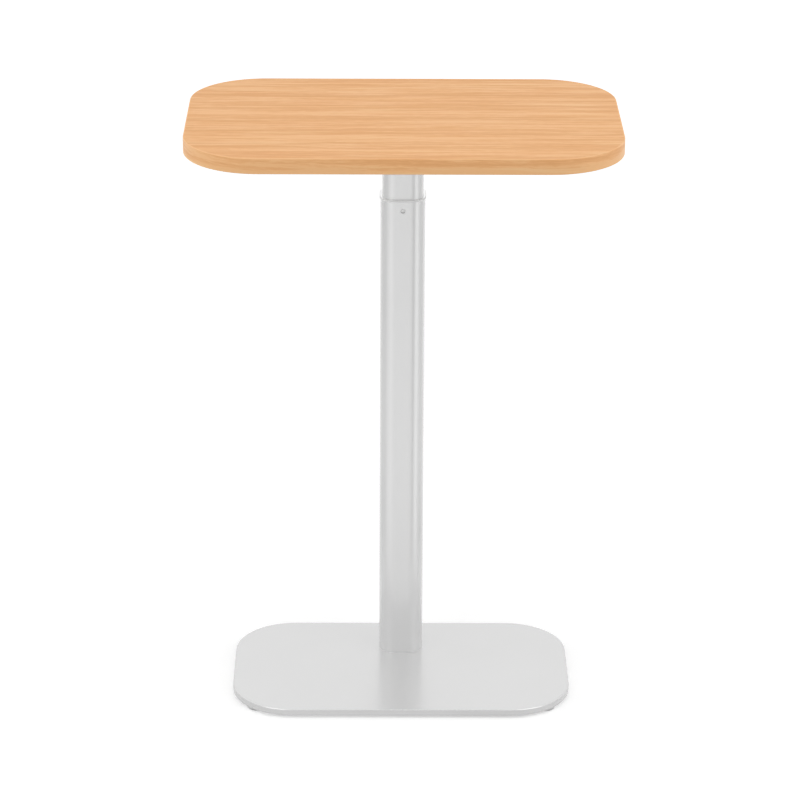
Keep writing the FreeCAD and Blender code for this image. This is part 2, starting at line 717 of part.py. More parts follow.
def make_rod_mount_plate():
    """Plate welded in the head of the inner tube, which the rod hangs the top on."""
    body = column_body("rod_mount_plate", MOUNT_BOTTOM)
    outline = new_sketch(body, "outline")
    size = f"{INNER_BORE} - 2 * fit_clearance"
    add_rounded_rectangle(outline, "plate", size, size, f"{INNER_BORE_CORNER} - fit_clearance")
    add_circle(outline, "rod", f"{ROD_RADIUS} + slide_clearance")
    pad(body, outline, "plate", "mount_plate_thickness")
    return body


def make_rod_nuts():
    """Two thin hexagon nuts, one under the mounting plate and one on it."""
    body = column_body("rod_nuts", LOWER_NUT_BOTTOM)
    section = new_sketch(body, "section")
    add_hexagon(section, "flats", "nut_width")
    add_circle(section, "thread", f"{ROD_RADIUS} + fit_clearance")
    nut = pad(body, section, "nut", "nut_height")
    repeat(body, section, "nuts", [nut], "N_Axis", "2", "nut_height + mount_plate_thickness")
    return body


# ---------------------------------------------------------------- top

def make_top_plate():
    """Pressed plate under the top: side lips folded down, screw holes, a hole over the rod."""
    body = new_body("top_plate", y=PLATE_CENTRE_Y, z=PLATE_UNDER)
    half = "(top_plate_width / 2)"
    inner = "(top_plate_width / 2 - top_plate_thickness)"
    section = new_sketch(body, "section", "XZ_Plane")
    add_outline(section, "fold", (
        (f"-{half}", f"-{LIP_DROP}"), (f"-{inner}", f"-{LIP_DROP}"), (f"-{inner}", "0"),
        (inner, "0"), (inner, f"-{LIP_DROP}"), (half, f"-{LIP_DROP}"),
        (half, "top_plate_thickness"), (f"-{half}", "top_plate_thickness")))
    channel = pad(body, section, "channel", "top_plate_depth", both_ways=True)
    outside = dress(body, "Fillet", "outer_bends", channel, "top_plate_bend + top_plate_thickness",
                    straight_edge("y", x=number(half), z=number("top_plate_thickness")))
    inside = dress(body, "Fillet", "inner_bends", outside, "top_plate_bend",
                   straight_edge("y", x=number(inner), z=0))
    dress(body, "Fillet", "lip_ends", inside, "top_plate_lip_round",
          straight_edge("x", y=number("top_plate_depth / 2"), z=number(LIP_DROP)))

    access = new_sketch(body, "access")
    add_circle(access, "nut", "access_hole / 2", up=f"column_setback - {PLATE_CENTRE_Y}")
    cut(body, access, "access_hole", along_normal=True)

    notch = new_sketch(body, "notch", offset=f"-{LIP_DROP}")
    lever = f"(column_setback - {PLATE_CENTRE_Y})"
    half_gap = "(lever_thickness / 2 + lever_slot_clearance)"
    add_rectangle(notch, "lever", f"{inner} - top_plate_bend", f"{half} + lever_slot_clearance",
                  f"{lever} - {half_gap}", f"{lever} + {half_gap}")
    cut(body, notch, "lever_notch", LIP_DROP, along_normal=True)

    screw = new_sketch(body, "screw")
    add_circle(screw, "screw", "screw_diameter / 2 + fit_clearance",
               across=f"-{SCREW_X}", up=f"-{SCREW_Y}")
    hole = cut(body, screw, "screw_hole", along_normal=True)
    repeat_screws(body, screw, "screw_holes", [hole])
    return body


def repeat_screws(body, sketch, name, features):
    """Two columns of wood screws, one along each side of the plate."""
    return repeat(body, sketch, name, features, "H_Axis", "2", f"2 * {SCREW_X}",
                  ("V_Axis", "screw_rows", f"2 * {SCREW_Y}"))


def make_top_plate_screws():
    """Pan-head wood screws up through the plate into the board."""
    body = new_body("top_plate_screws", x=f"-{SCREW_X}", y=f"{PLATE_CENTRE_Y} - {SCREW_Y}", z=PLATE_UNDER)
    profile = new_sketch(body, "profile", "XZ_Plane")
    head = "screw_head / 2"
    shank = "screw_diameter / 2"
    reach = "(top_plate_thickness + screw_bite)"
    add_outline(profile, "half", (
        ("0", "-screw_head_height"), (head, "-screw_head_height"), (head, "0"), (shank, "0"),
        (shank, reach), ("0", reach)))
    screw = revolve(body, profile, "screw")
    row = new_sketch(body, "row")
    add_circle(row, "shank", shank)
    repeat_screws(body, row, "screws", [screw])
    return body


def add_board_outline(sketch):
    """The outline that the edge band goes round."""
    add_rounded_rectangle(sketch, "board", "top_width - 2 * band_thickness",
                          "top_depth - 2 * band_thickness", "top_corner - band_thickness")


def make_board_sheet(label, level, thickness, screw_depth=None):
    """The board or one of its facing sheets, with the screws' holes where they reach it."""
    body = new_body(label, z=level)
    outline = new_sketch(body, "outline")
    add_board_outline(outline)
    pad(body, outline, "sheet", thickness)
    if screw_depth:
        screw = new_sketch(body, "screw")
        add_circle(screw, "screw", "screw_diameter / 2 + fit_clearance",
                   across=f"-{SCREW_X}", up=f"{PLATE_CENTRE_Y} - {SCREW_Y}")
        hole = cut(body, screw, "screw_hole", screw_depth, along_normal=True)
        repeat_screws(body, screw, "screw_holes", [hole])
    return body


def make_edge_band():
    """Band round the board and both facing sheets, its outer edges eased."""
    body = new_body("edge_band", z=UNDERSIDE)
    section = new_sketch(body, "section")
    add_rounded_rectangle(section, "outside", "top_width", "top_depth", "top_corner")
    add_board_outline(section)
    band = pad(body, section, "band", "top_thickness")
    half_width, half_depth = number("top_width / 2"), number("top_depth / 2")

    def outer_rim(edge):
        box = edge.BoundBox
        flat = near(box.ZMin, box.ZMax)
        return flat and (near(max(-box.XMin, box.XMax), half_width)
                         or near(max(-box.YMin, box.YMax), half_depth))

    dress(body, "Chamfer", "eased_edges", band, "band_edge_break", outer_rim)
    return body


# ---------------------------------------------------------------- release lever

def make_lever_bracket():
    """U-shaped bracket welded under the top plate, its two ears either side of the lever."""
    body = pivot_body("lever_bracket")
    outer = BRACKET_HALF_WIDTH
    inner = f"({BRACKET_HALF_WIDTH} - bracket_thickness)"
    section = new_sketch(body, "section", "YZ_Plane")
    add_outline(section, "fold", (
        (f"-{outer}", "-bracket_ear_drop"), (f"-{inner}", "-bracket_ear_drop"),
        (f"-{inner}", "pivot_drop - bracket_thickness"), (inner, "pivot_drop - bracket_thickness"),
        (inner, "-bracket_ear_drop"), (outer, "-bracket_ear_drop"), (outer, "pivot_drop"),
        (f"-{outer}", "pivot_drop")))
    channel = pad(body, section, "channel", "2 * bracket_half_length", both_ways=True)
    bends = dress(body, "Fillet", "bends", channel, "bracket_bend",
                  straight_edge("x", y=number(outer), z=number("pivot_drop")))
    dress(body, "Fillet", "ears", bends, "bracket_ear_round",
          straight_edge("y", x=number("bracket_half_length"), z=number("bracket_ear_drop")))
    hole = new_sketch(body, "hole", "XZ_Plane")
    add_circle(hole, "pin", "pivot_diameter / 2 + fit_clearance")
    cut(body, hole, "pin_holes", both_ways=True)
    return body


def make_pivot_pin():
    """Headed pin across the bracket, grooved at the back for its clip."""
    body = pivot_body("pivot_pin")
    profile = new_sketch(body, "profile")
    radius = "pivot_diameter / 2"
    floor = "(pivot_diameter / 2 - clip_groove)"
    groove_end = f"({CLIP_SEAT} + clip_thickness + fit_clearance)"
    tail = f"({BRACKET_HALF_WIDTH} + pivot_tail)"
    add_outline(profile, "half", (
        ("0", f"-{BRACKET_HALF_WIDTH} - pivot_head_height"),
        ("pivot_head / 2", f"-{BRACKET_HALF_WIDTH} - pivot_head_height"),
        ("pivot_head / 2", f"-{BRACKET_HALF_WIDTH}"), (radius, f"-{BRACKET_HALF_WIDTH}"),
        (radius, BRACKET_HALF_WIDTH), (floor, BRACKET_HALF_WIDTH),
        (floor, groove_end), (radius, groove_end), (radius, tail), ("0", tail)))
    revolve(body, profile, "pin")
    return body


def make_pivot_clip():
    """Open spring clip in the pin's groove, against the bracket's back ear."""
    body = pivot_body("pivot_clip", y=f"column_setback + {CLIP_SEAT} + clip_thickness / 2")
    ring = new_sketch(body, "ring", "XZ_Plane")
    inside = "(pivot_diameter / 2 - clip_groove + fit_clearance)"
    add_circle(ring, "inside", inside)
    add_circle(ring, "outside", f"{inside} + clip_width")
    pad(body, ring, "ring", "clip_thickness", both_ways=True)
    mouth = new_sketch(body, "mouth", "XZ_Plane")
    add_rectangle(mouth, "mouth", "-clip_gap / 2", "clip_gap / 2",
                  f"-{inside} - 2 * clip_width", "0")
    cut(body, mouth, "mouth", both_ways=True)
    return body


def make_release_lever():
    """Flat lever: a round nose over the pin, an eye at the pivot and an arm out to the grip."""
    body = pivot_body("release_lever")
    inner_arm = new_sketch(body, "inner_arm", "XZ_Plane")
    add_rectangle(inner_arm, "arm", "-pivot_reach", "0", "-lever_nose", "lever_nose")
    pad(body, inner_arm, "inner_arm", "lever_thickness", both_ways=True)
    nose = new_sketch(body, "nose", "XZ_Plane")
    add_circle(nose, "nose", "lever_nose", across="-pivot_reach")
    pad(body, nose, "nose", "lever_thickness", both_ways=True)
    eye = new_sketch(body, "eye", "XZ_Plane")
    add_circle(eye, "eye", "lever_eye")
    pad(body, eye, "eye", "lever_thickness", both_ways=True)

    outer_arm = new_sketch(body, "outer_arm", "XZ_Plane")
    drop = f"({GRIP_LEVEL} - {PIVOT_LEVEL})"
    half = "lever_arm_height / 2"
    end = f"({GRIP_START} + grip_bite - pivot_reach)"
    add_outline(outer_arm, "arm", (
        ("0", f"-{half}"), ("lever_bend_reach", f"{drop} - {half}"), (end, f"{drop} - {half}"),
        (end, f"{drop} + {half}"), ("lever_bend_reach", f"{drop} + {half}"), ("0", half)))
    arm = pad(body, outer_arm, "outer_arm", "lever_thickness", both_ways=True)
    dress(body, "Fillet", "bends", arm, "lever_bend_round",
          straight_edge("y", x=number("lever_bend_reach")))
    hole = new_sketch(body, "hole", "XZ_Plane")
    add_circle(hole, "pin", "pivot_diameter / 2 + slide_clearance")
    cut(body, hole, "pin_hole", both_ways=True)
    return body


def make_lever_grip():
    """Moulded grip, full in the middle and narrow at its neck, pressed on the lever's end."""
    body = new_body("lever_grip", x=GRIP_START, y="column_setback", z=GRIP_LEVEL)
    plan = new_sketch(body, "plan")
    neck, middle, tip = "grip_neck_width / 2", "grip_width / 2", "grip_tip_width / 2"
    add_outline(plan, "plan", (
        ("0", f"-{neck}"), ("grip_middle", f"-{middle}"), ("grip_length", f"-{tip}"),
        ("grip_length", tip), ("grip_middle", middle), ("0", neck)))
    handle = pad(body, plan, "handle", "grip_thickness", both_ways=True)
    sides = dress(body, "Fillet", "sides", handle, "grip_side_round", upright_edge("grip_middle"))
    corners = dress(body, "Fillet", "corners", sides, "grip_tip_round", upright_edge("grip_length"))
    half_thickness = number("grip_thickness / 2")
    dress(body, "Chamfer", "rims", corners, "grip_rim_break",
          lambda edge: edge.BoundBox.ZLength < 1e-4 and near(abs(edge.BoundBox.ZMin), half_thickness))
    socket = new_sketch(body, "socket", "YZ_Plane")
    half_width = "(lever_thickness / 2 + fit_clearance)"
    half_height = "(lever_arm_height / 2 + fit_clearance)"
    add_rectangle(socket, "bar", f"-{half_width}", half_width, f"-{half_height}", half_height)
    cut(body, socket, "socket", "grip_bite + fit_clearance", along_normal=True)
    return body


# ---------------------------------------------------------------- the whole table

def build():
    """Every sub-part, in the order in which the table goes together."""
    fill_sheet()
    bodies = [make_base_plate()]
    for end_name, end in (("front", "-1"), ("back", "1")):
        for side_name, side in (("left", "-1"), ("right", "1")):
            bodies.append(make_glide(f"glide_{end_name}_{side_name}", side, end))
    bodies += [make_foot_plate(), make_foot_bolts(), make_outer_tube(), make_guide_collar(),
               make_gas_cylinder(), make_cylinder_base_plug(), make_cylinder_guide(),
               make_gas_spring_bolt(), make_inner_tube(), make_lower_slider(), make_piston_rod(),
               make_piston(), make_piston_seal(), make_release_pin(), make_rod_mount_plate(),
               make_rod_nuts(), make_top_plate(), make_top_plate_screws()]
    bodies.append(make_board_sheet("tabletop_core", f"{UNDERSIDE} + backer_thickness",
                                   "top_thickness - backer_thickness - laminate_thickness",
                                   "screw_bite - backer_thickness + fit_clearance"))
    bodies.append(make_board_sheet("top_laminate", "table_height - laminate_thickness",
                                   "laminate_thickness"))
    bodies.append(make_board_sheet("backing_sheet", UNDERSIDE, "backer_thickness",
                                   "2 * backer_thickness"))
    bodies += [make_edge_band(), make_lever_bracket(), make_pivot_pin(), make_pivot_clip(),
               make_release_lever(), make_lever_grip()]
    DOC.recompute()
    return bodies


def check(bodies):
    """Stops if any object failed or any sub-part is not a sound solid."""
    for item in DOC.Objects:
        if "Invalid" in item.State or "Error" in item.State:
            raise RuntimeError(f"{item.Label} failed: {item.State}")
    for body in bodies:
        if body.Shape.isNull() or not body.Shape.isValid() or not body.Shape.Solids:
            raise RuntimeError(f"{body.Label} is not a sound solid")


def export(bodies):
    os.makedirs("parts", exist_ok=True)
    for body in bodies:
        body.Shape.exportStep(f"parts/{body.Label}.step")


SUB_PARTS = build()
check(SUB_PARTS)
export(SUB_PARTS)
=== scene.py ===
import json
import math
import bmesh
import bpy
from mathutils import Matrix, Vector


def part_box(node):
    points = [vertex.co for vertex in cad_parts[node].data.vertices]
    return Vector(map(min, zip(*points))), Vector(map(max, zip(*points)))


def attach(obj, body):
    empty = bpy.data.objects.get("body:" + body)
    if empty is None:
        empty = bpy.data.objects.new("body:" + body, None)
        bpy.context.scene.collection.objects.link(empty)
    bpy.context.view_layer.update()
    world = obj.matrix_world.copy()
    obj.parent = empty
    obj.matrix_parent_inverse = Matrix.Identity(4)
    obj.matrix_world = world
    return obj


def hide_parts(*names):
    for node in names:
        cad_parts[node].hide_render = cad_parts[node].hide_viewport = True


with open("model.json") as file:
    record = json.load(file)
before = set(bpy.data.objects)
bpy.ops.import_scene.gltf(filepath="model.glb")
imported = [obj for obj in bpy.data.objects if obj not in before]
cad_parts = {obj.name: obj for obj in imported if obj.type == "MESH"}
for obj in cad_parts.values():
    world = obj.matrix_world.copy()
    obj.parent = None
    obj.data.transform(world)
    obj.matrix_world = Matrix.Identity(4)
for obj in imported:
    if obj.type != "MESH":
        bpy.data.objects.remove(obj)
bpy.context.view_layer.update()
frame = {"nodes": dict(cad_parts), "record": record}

# A telescoping pedestal table: finishes for its sub-parts, the pieces whose fine shape shows, and a
# plain studio. Everything is in metres, with Z up, X to the user's right and the user at -Y.

# ---------------------------------------------------------------- sizes of the pieces

# Rounded outlines and the edge band
CORNER_STEPS = 28
TOP_CORNER = 0.105
BAND_WALL = 0.0015
BAND_ROUND = 0.0012
BAND_ROUND_STEPS = 5

# Wood screws under the top, each with a cross recess and a turn of its own, in radians
TOP_PLATE_THICKNESS = 0.004
SCREW_ROWS = 3
SCREW_HEAD_RADIUS = 0.0045
SCREW_HEAD_HEIGHT = 0.0028
SCREW_SHANK_RADIUS = 0.00225
SCREW_TIP = 0.003
SCREW_SIDES = 32
SCREW_DOME_STEPS = 6
SCREW_TURN_PER_ROW = 0.7
SCREW_TURN_PER_METRE = 40.0
RECESS_ARM = 0.0022
RECESS_WIDTH = 0.0011
RECESS_DEPTH = 0.0016
RECESS_FLOOR_ARM_SHARE = 0.35
RECESS_FLOOR_WIDTH_SHARE = 0.7

# Wiper ring on the collar
COLLAR_CORNER_SHARE = 0.35
WIPER_THICKNESS = 0.00025
WIPER_CLEARANCE = 0.0001
WIPER_INSET = 0.0007
WIPER_ROUND_STEPS = 3

# Weld between the inner tube and the plate under the top
TUBE_CORNER_SHARE = 1 / 3
WELD_SIZE = 0.0026
WELD_ROOT = 0.0005
WELD_RIPPLE = 0.00022
WELD_PITCH = 0.0024
WELD_STEP = 0.0004
WELD_FACETS = 6

# Grip of the release lever: its section at the neck and the end as shares of the fullest place,
# its rounded mouth and tip, its ribs and its socket
GRIP_SIDES = 32
GRIP_SQUARENESS = 2.8
GRIP_FULLEST = 0.55
GRIP_NECK_WIDTH = 0.68
GRIP_NECK_HEIGHT = 0.85
GRIP_END_WIDTH = 0.87
GRIP_END_HEIGHT = 0.90
GRIP_MOUTH_ROUND = 0.0014
GRIP_MOUTH_STEPS = 3
GRIP_TIP_ROUND = 0.013
GRIP_TIP_TURN = 86.0
GRIP_TIP_STEPS = 9
GRIP_STATION = 0.0035
RIB_COUNT = 6
RIB_PITCH = 0.007
RIB_START = 0.020
RIB_DEPTH = 0.0007
RIB_STEPS = 8
ARM_HEIGHT = 0.011
SOCKET_DEPTH = 0.0621
SOCKET_CLEARANCE = 0.00005

# Edges that turn by more than these angles, in degrees, are shaded sharp
SWEEP_SHARP_ANGLE = 50.0
GRIP_SHARP_ANGLE = 40.0
SCREW_SHARP_ANGLE = 35.0

# ---------------------------------------------------------------- wood-look grain

# Colours of the top's grain, and of the band's, a little lighter as painted light on its less lit
# upright face
TOP_GRAIN = {
    "light": (0.910, 0.508, 0.2265, 1.0),
    "middle": (0.850, 0.438, 0.176, 1.0),
    "dark": (0.794, 0.388, 0.146, 1.0),
    "pore": (0.711, 0.315, 0.117, 1.0),
    "silk": (0.937, 0.570, 0.272, 1.0),
}
BAND_GRAIN_WITH_PAINTED_LIGHT = {
    "light": (0.930, 0.530, 0.245, 1.0),
    "middle": (0.872, 0.458, 0.192, 1.0),
    "dark": (0.815, 0.404, 0.158, 1.0),
    "pore": (0.730, 0.330, 0.127, 1.0),
    "silk": (0.950, 0.590, 0.292, 1.0),
}

# How far the grain wanders sideways, its growth rings, the share of each pattern in its tone, and
# the depth of its relief
WANDER_DEPTH = 0.022
RIPPLE_DEPTH = 0.0050
RING_PITCH = 0.064
RING_UNEVENNESS = 10.0
RING_SHARE = 0.026
BANDS_SHARE = 0.24
STREAKS_SHARE = 0.36
LINES_SHARE = 0.20
FLECKS_SHARE = 0.16
GRAIN_RELIEF = 0.00006

# The band's grain climbs by a tilt in degrees; the band is lighter all over as painted light, lighter
# along its foot, at heights above it, and has a painted highlight on its upper arris, at depths below
# the top
BAND_GRAIN_TILT = 1.2
BAND_FOOT = (0.0095, 0.0010)
BAND_FOOT_LIGHT = 0.9
BAND_ARRIS = (0.0016, 0.0004)
BAND_ARRIS_PAINTED_HIGHLIGHT = 0.5
BAND_PAINTED_LIGHT = 0.10

# ---------------------------------------------------------------- silver coat and moulded edges

# On the plate the coat has painted shade on its upright sides and along its edges, painted light on
# its upward faces, and rougher edges
COAT_TONE = 0.721
COAT_METAL = 0.62
COAT_ROUGHNESS = 0.21
COAT_EDGE_RADIUS = 0.0008
COAT_EDGE_ROUGHNESS = 0.15
PLATE_SIDE_PAINTED_SHADE = 0.90
PLATE_FACE_PAINTED_LIGHT = 1.03
PLATE_EDGE_PAINTED_SHADE = -0.14
SHEARED_EDGE_ROUGHNESS = 0.40
MOULDED_EDGE_RADIUS = 0.0006

# ---------------------------------------------------------------- camera and studio

PHOTO_PIXELS = 800
SENSOR_WIDTH = 36.0
FOCAL_PIXELS = 3109.7
CAMERA_PLACE = Vector((-0.03377, -4.12600, 2.11466))
CAMERA_PITCH = math.radians(22.111)
CAMERA_YAW = math.radians(0.425)
CAMERA_ROLL = math.radians(0.286)

# The world's light, and its stronger light from the two sides, which comes in as a direction's
# share of X goes from the first of WALL_REACH to the second
WORLD_LIGHT = 0.49
WALL_LIGHT = 2.29
WALL_REACH = (0.75, 1.0)

# Lamps: turns are in degrees to the right of the front, powers in watts
OVERHEAD_PLACE = (0.0, 0.1, 3.2)
OVERHEAD_TARGET = (0.0, 0.05, 0.5)
OVERHEAD_SIZE = (2.6, 2.6)
OVERHEAD_POWER = 15.6
BOX_TURNS = {"left_box": -46, "right_box": 52}
BOX_DISTANCE = 2.2
BOX_HEIGHT = 2.7
BOX_TARGET = (0.0, 0.0, 0.7)
BOX_SIZE = (1.6, 1.6)
BOX_POWER = 8.0
PANEL_TURNS = {"left_panel": -38, "right_panel": 54}
PANEL_POWERS = {"left_panel": 0.55, "right_panel": 0.45}
PANEL_DISTANCE = 1.1
PANEL_HEIGHT = 1.05
PANEL_TARGET = (0.0, -0.1, 0.85)
PANEL_SIZE = (0.7, 0.4)

# The floor, and its glow by the distance from its middle, which dips in front of the table as painted
# shade
FLOOR_RADIUS = 16.0
FLOOR_SIDES = 96
FLOOR_COLOUR = 0.80
FLOOR_GLOW_NEAR = 0.41
FLOOR_GLOW_FAR = 0.60
FLOOR_GLOW_REACH = (0.4, 4.0)
FLOOR_DIP = 0.07
FLOOR_DIP_REACH = (-0.3, -0.8)

# Painted highlights and painted shadows: light and dark strips that fan out over the floor from the
# column, and that only reflections show: direction to the right of the front, half the width of the
# core and of the whole in degrees, and the added glow
FLOOR_SHADES = (
    (-96, 18, 42, -0.24),
    (-32, 4, 18, 0.10),
    (30, 5, 17, -0.24),
    (54, 4, 18, 0.12),
    (98, 14, 34, -0.22),
)

# Distances from the column over which the strips come in, those over which they grow stronger,
# and those over which a darker round, painted shade round the column's foot, comes in towards it
SHADES_START = (0.26, 0.55)
SHADES_START_SHARE = 0.15
SHADES_GAIN = 0.35
SHADES_GAIN_REACH = (1.0, 1.7)
NEAR_SHADE = 0.09
NEAR_SHADE_REACH = (0.75, 0.35)

# ---------------------------------------------------------------- shader helpers

def new_material(name):
    """An empty node material and its node tree."""
    material = bpy.data.materials.new(name)
    material.use_nodes = True
    material.node_tree.nodes.clear()
    return material, material.node_tree


def add(tree, kind, inputs, **settings):
    """A shader node with its settings, each input linked from a socket or set to a value."""
    node = tree.nodes.new(f"ShaderNode{kind}")
    for key, value in settings.items():
        setattr(node, key, value)
    for key, value in inputs.items():
        if isinstance(value, bpy.types.NodeSocket):
            tree.links.new(value, node.inputs[key])
        else:
            node.inputs[key].default_value = value
    return node


def calculate(tree, operation, first, second=0.0, third=0.0):
    """The result of a sum on sockets or numbers."""
    return add(tree, "Math", {0: first, 1: second, 2: third}, operation=operation).outputs[0]


def swing(tree, value, amount, base):
    """A base that changes with a value by an amount: base + amount * value."""
    return calculate(tree, "MULTIPLY_ADD", value, amount, base)


def noise(tree, vector, scale, detail=2.0, roughness=0.5):
    """Noise from 0 to 1, with as many cells per metre on each axis as the scale says."""
    stretched = add(tree, "Mapping", {"Vector": vector, "Scale": scale})
    inputs = {"Vector": stretched.outputs[0], "Scale": 1.0, "Detail": detail, "Roughness": roughness}
    return add(tree, "TexNoise", inputs).outputs["Fac"]


def spread(tree, value, low, high, new_low=0.0, new_high=1.0):
    """A value between two limits mapped smoothly on two others, and held outside them."""
    inputs = {"Value": value, "From Min": low, "From Max": high,
              "To Min": new_low, "To Max": new_high}
    return add(tree, "MapRange", inputs, interpolation_type="SMOOTHSTEP").outputs[0]


def mix_colour(tree, factor, first, second):
    """The first colour where the factor is 0, and the second where it is 1."""
    inputs = {"Fac": factor, "Color1": first, "Color2": second}
    return add(tree, "MixRGB", inputs).outputs[0]


def parts_of(tree, vector):
    """The X, Y and Z sockets of a vector."""
    return add(tree, "SeparateXYZ", {0: vector}).outputs


def length_of(tree, vector):
    """The length of a vector."""
    return add(tree, "VectorMath", {0: vector}, operation="LENGTH").outputs["Value"]


def bump(tree, height, depth, normal=None):
    """A normal bent by a height from 0 to 1 that stands for a depth in metres."""
    inputs = {"Height": height, "Distance": depth, "Strength": 1.0}
    if normal:
        inputs["Normal"] = normal
    return add(tree, "Bump", inputs).outputs[0]


def close(material, tree, inputs):
    """The material, closed with its surface shader and its output."""
    shader = add(tree, "BsdfPrincipled", inputs)
    add(tree, "OutputMaterial", {"Surface": shader.outputs[0]})
    return material


def place(tree):
    """The object's own coordinates, in metres."""
    return add(tree, "TexCoord", {}).outputs["Object"]


def grey(level):
    """A colour with three equal parts."""
    return (level, level, level, 1.0)


def even(scale):
    """The same scale on the three axes."""
    return (scale, scale, scale)


def edge_mask(tree, radius):
    """A mask that is 1 along the edges of a solid and 0 on its faces, and the eased normal."""
    eased = add(tree, "Bevel", {"Radius": radius}, samples=4).outputs[0]
    true_normal = add(tree, "NewGeometry", {}).outputs["Normal"]
    alike = add(tree, "VectorMath", {0: eased, 1: true_normal}, operation="DOT_PRODUCT")
    return spread(tree, alike.outputs["Value"], 0.995, 0.9), eased


# ---------------------------------------------------------------- wood-look surfaces

def grain_vector(tree, vector):
    """Coordinates along, across and into the grain, wandering a little across it."""
    wander = noise(tree, vector, (1.6, 5.0, 1.0), detail=1.0)
    ripple = noise(tree, vector, (22.0, 60.0, 1.0))
    slow = swing(tree, wander, WANDER_DEPTH, -WANDER_DEPTH / 2)
    drift = swing(tree, ripple, RIPPLE_DEPTH, slow)
    offset = add(tree, "CombineXYZ", {"Y": drift}).outputs[0]
    return add(tree, "VectorMath", {0: vector, 1: offset}, operation="ADD").outputs[0]


def growth_rings(tree, vector):
    """A wave across the grain, of uneven width, from -1 to 1."""
    uneven = noise(tree, vector, (0.7, 11.0, 1.0), detail=1.0)
    shift = calculate(tree, "MULTIPLY", uneven, RING_UNEVENNESS)
    phase = swing(tree, parts_of(tree, vector)["Y"], 2 * math.pi / RING_PITCH, shift)
    return calculate(tree, "SINE", phase)


def grain_tone(tree, vector):
    """0 in the dark grain and 1 in the light, with the streaks and the lines that it is made of."""
    bands = noise(tree, vector, (1.1, 70.0, 1.0), detail=1.0)
    streaks = noise(tree, vector, (6.5, 160.0, 1.0), roughness=0.6)
    lines = noise(tree, vector, (26.0, 420.0, 1.0), roughness=0.6)
    flecks = noise(tree, vector, (75.0, 700.0, 1.0), detail=1.0)
    tone = calculate(tree, "MULTIPLY", bands, BANDS_SHARE)
    tone = swing(tree, growth_rings(tree, vector), RING_SHARE, tone)
    tone = swing(tree, streaks, STREAKS_SHARE, tone)
    tone = swing(tree, lines, LINES_SHARE, tone)
    tone = swing(tree, flecks, FLECKS_SHARE, tone)
    return spread(tree, tone, 0.40, 0.56), streaks, lines


def wood(name, colours, vector_of, sheen, edge_tone=None):
    """Pale oak look: bands, long streaks, fine lines, bright silk lines and dark pores."""
    material, tree = new_material(name)
    vector = grain_vector(tree, vector_of(tree))
    tone, streaks, lines = grain_tone(tree, vector)
    if edge_tone:
        tone = calculate(tree, "ADD", tone, edge_tone(tree))
    silk = noise(tree, vector, (5.0, 190.0, 3.0))
    pores = noise(tree, vector, (70.0, 2100.0, 1.0), detail=1.0)
    lower = mix_colour(tree, spread(tree, tone, 0.0, 0.5), colours["dark"], colours["middle"])
    whole = mix_colour(tree, spread(tree, tone, 0.5, 1.0), lower, colours["light"])
    whole = mix_colour(tree, spread(tree, silk, 0.58, 0.70, 0.0, 0.7), whole, colours["silk"])
    whole = mix_colour(tree, spread(tree, pores, 0.62, 0.74, 0.0, 0.35), whole, colours["pore"])
    gloss = spread(tree, streaks, 0.3, 0.7, 0.50, 0.42)
    relief = swing(tree, pores, -0.5, lines)
    return close(material, tree, {"Base Color": whole, "Roughness": gloss, "IOR": 1.48,
                                  "Specular IOR Level": sheen,
                                  "Normal": bump(tree, relief, GRAIN_RELIEF)})


def unrolled_band(tree):
    """Coordinates along the edge band, and up it from the floor."""
    return add(tree, "UVMap", {}, uv_map="unrolled").outputs[0]


def along_band(tree):
    """Coordinates along the band and up it, the grain climbing slowly along it."""
    tilt = (0.0, 0.0, math.radians(BAND_GRAIN_TILT))
    return add(tree, "Mapping", {"Vector": unrolled_band(tree), "Rotation": tilt}).outputs[0]


def band_tone(tree):
    """How much lighter the band is: some all over as painted light, most along its foot, and a painted
    highlight on its upper arris.
    """
    low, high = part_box("edge_band")
    height = parts_of(tree, unrolled_band(tree))["Y"]
    foot = spread(tree, height, low.z + BAND_FOOT[0], low.z + BAND_FOOT[1], 0.0, BAND_FOOT_LIGHT)
    # Painted highlight along the band's upper arris
    arris_highlight = spread(tree, height, high.z - BAND_ARRIS[0], high.z - BAND_ARRIS[1], 0.0, BAND_ARRIS_PAINTED_HIGHLIGHT)
    edges = calculate(tree, "ADD", foot, arris_highlight)
    # Painted light all over the band's upright face
    return calculate(tree, "ADD", edges, BAND_PAINTED_LIGHT)


# ---------------------------------------------------------------- other surfaces

def silver_coat(name, shaded_plate=False):
    """Silver powder coat: metal flake in a satin binder, with a faint orange peel.

    On the plate the coat has painted shade on its upright sides and along its edges, painted light on
    its upward faces, and much duller edges.
    """
    material, tree = new_material(name)
    where = place(tree)
    cloud = noise(tree, where, even(9.0), detail=3.0)
    flake = noise(tree, where, even(2600.0), detail=1.0)
    peel = noise(tree, where, even(420.0))
    on_edges, eased = edge_mask(tree, COAT_EDGE_RADIUS)
    tone = swing(tree, flake, 0.05, COAT_TONE)
    tone = swing(tree, cloud, 0.025, tone)
    # Painted shade on the plate's upright sides and edges, painted light on its upward faces
    if shaded_plate:
        facing = add(tree, "NewGeometry", {}).outputs["True Normal"]
        upward = calculate(tree, "ABSOLUTE", parts_of(tree, facing)["Z"])
        share = spread(tree, upward, 0.3, 0.9, PLATE_SIDE_PAINTED_SHADE, PLATE_FACE_PAINTED_LIGHT)
        tone = calculate(tree, "MULTIPLY", tone, share)
        tone = swing(tree, on_edges, PLATE_EDGE_PAINTED_SHADE, tone)
    tint = add(tree, "CombineColor", {0: tone, 1: tone, 2: tone}).outputs[0]
    rough = swing(tree, flake, 0.06, COAT_ROUGHNESS)
    rough = swing(tree, on_edges, SHEARED_EDGE_ROUGHNESS if shaded_plate else COAT_EDGE_ROUGHNESS, rough)
    return close(material, tree, {"Base Color": tint, "Metallic": COAT_METAL, "Roughness": rough,
                                  "Normal": bump(tree, peel, 0.000012, eased)})


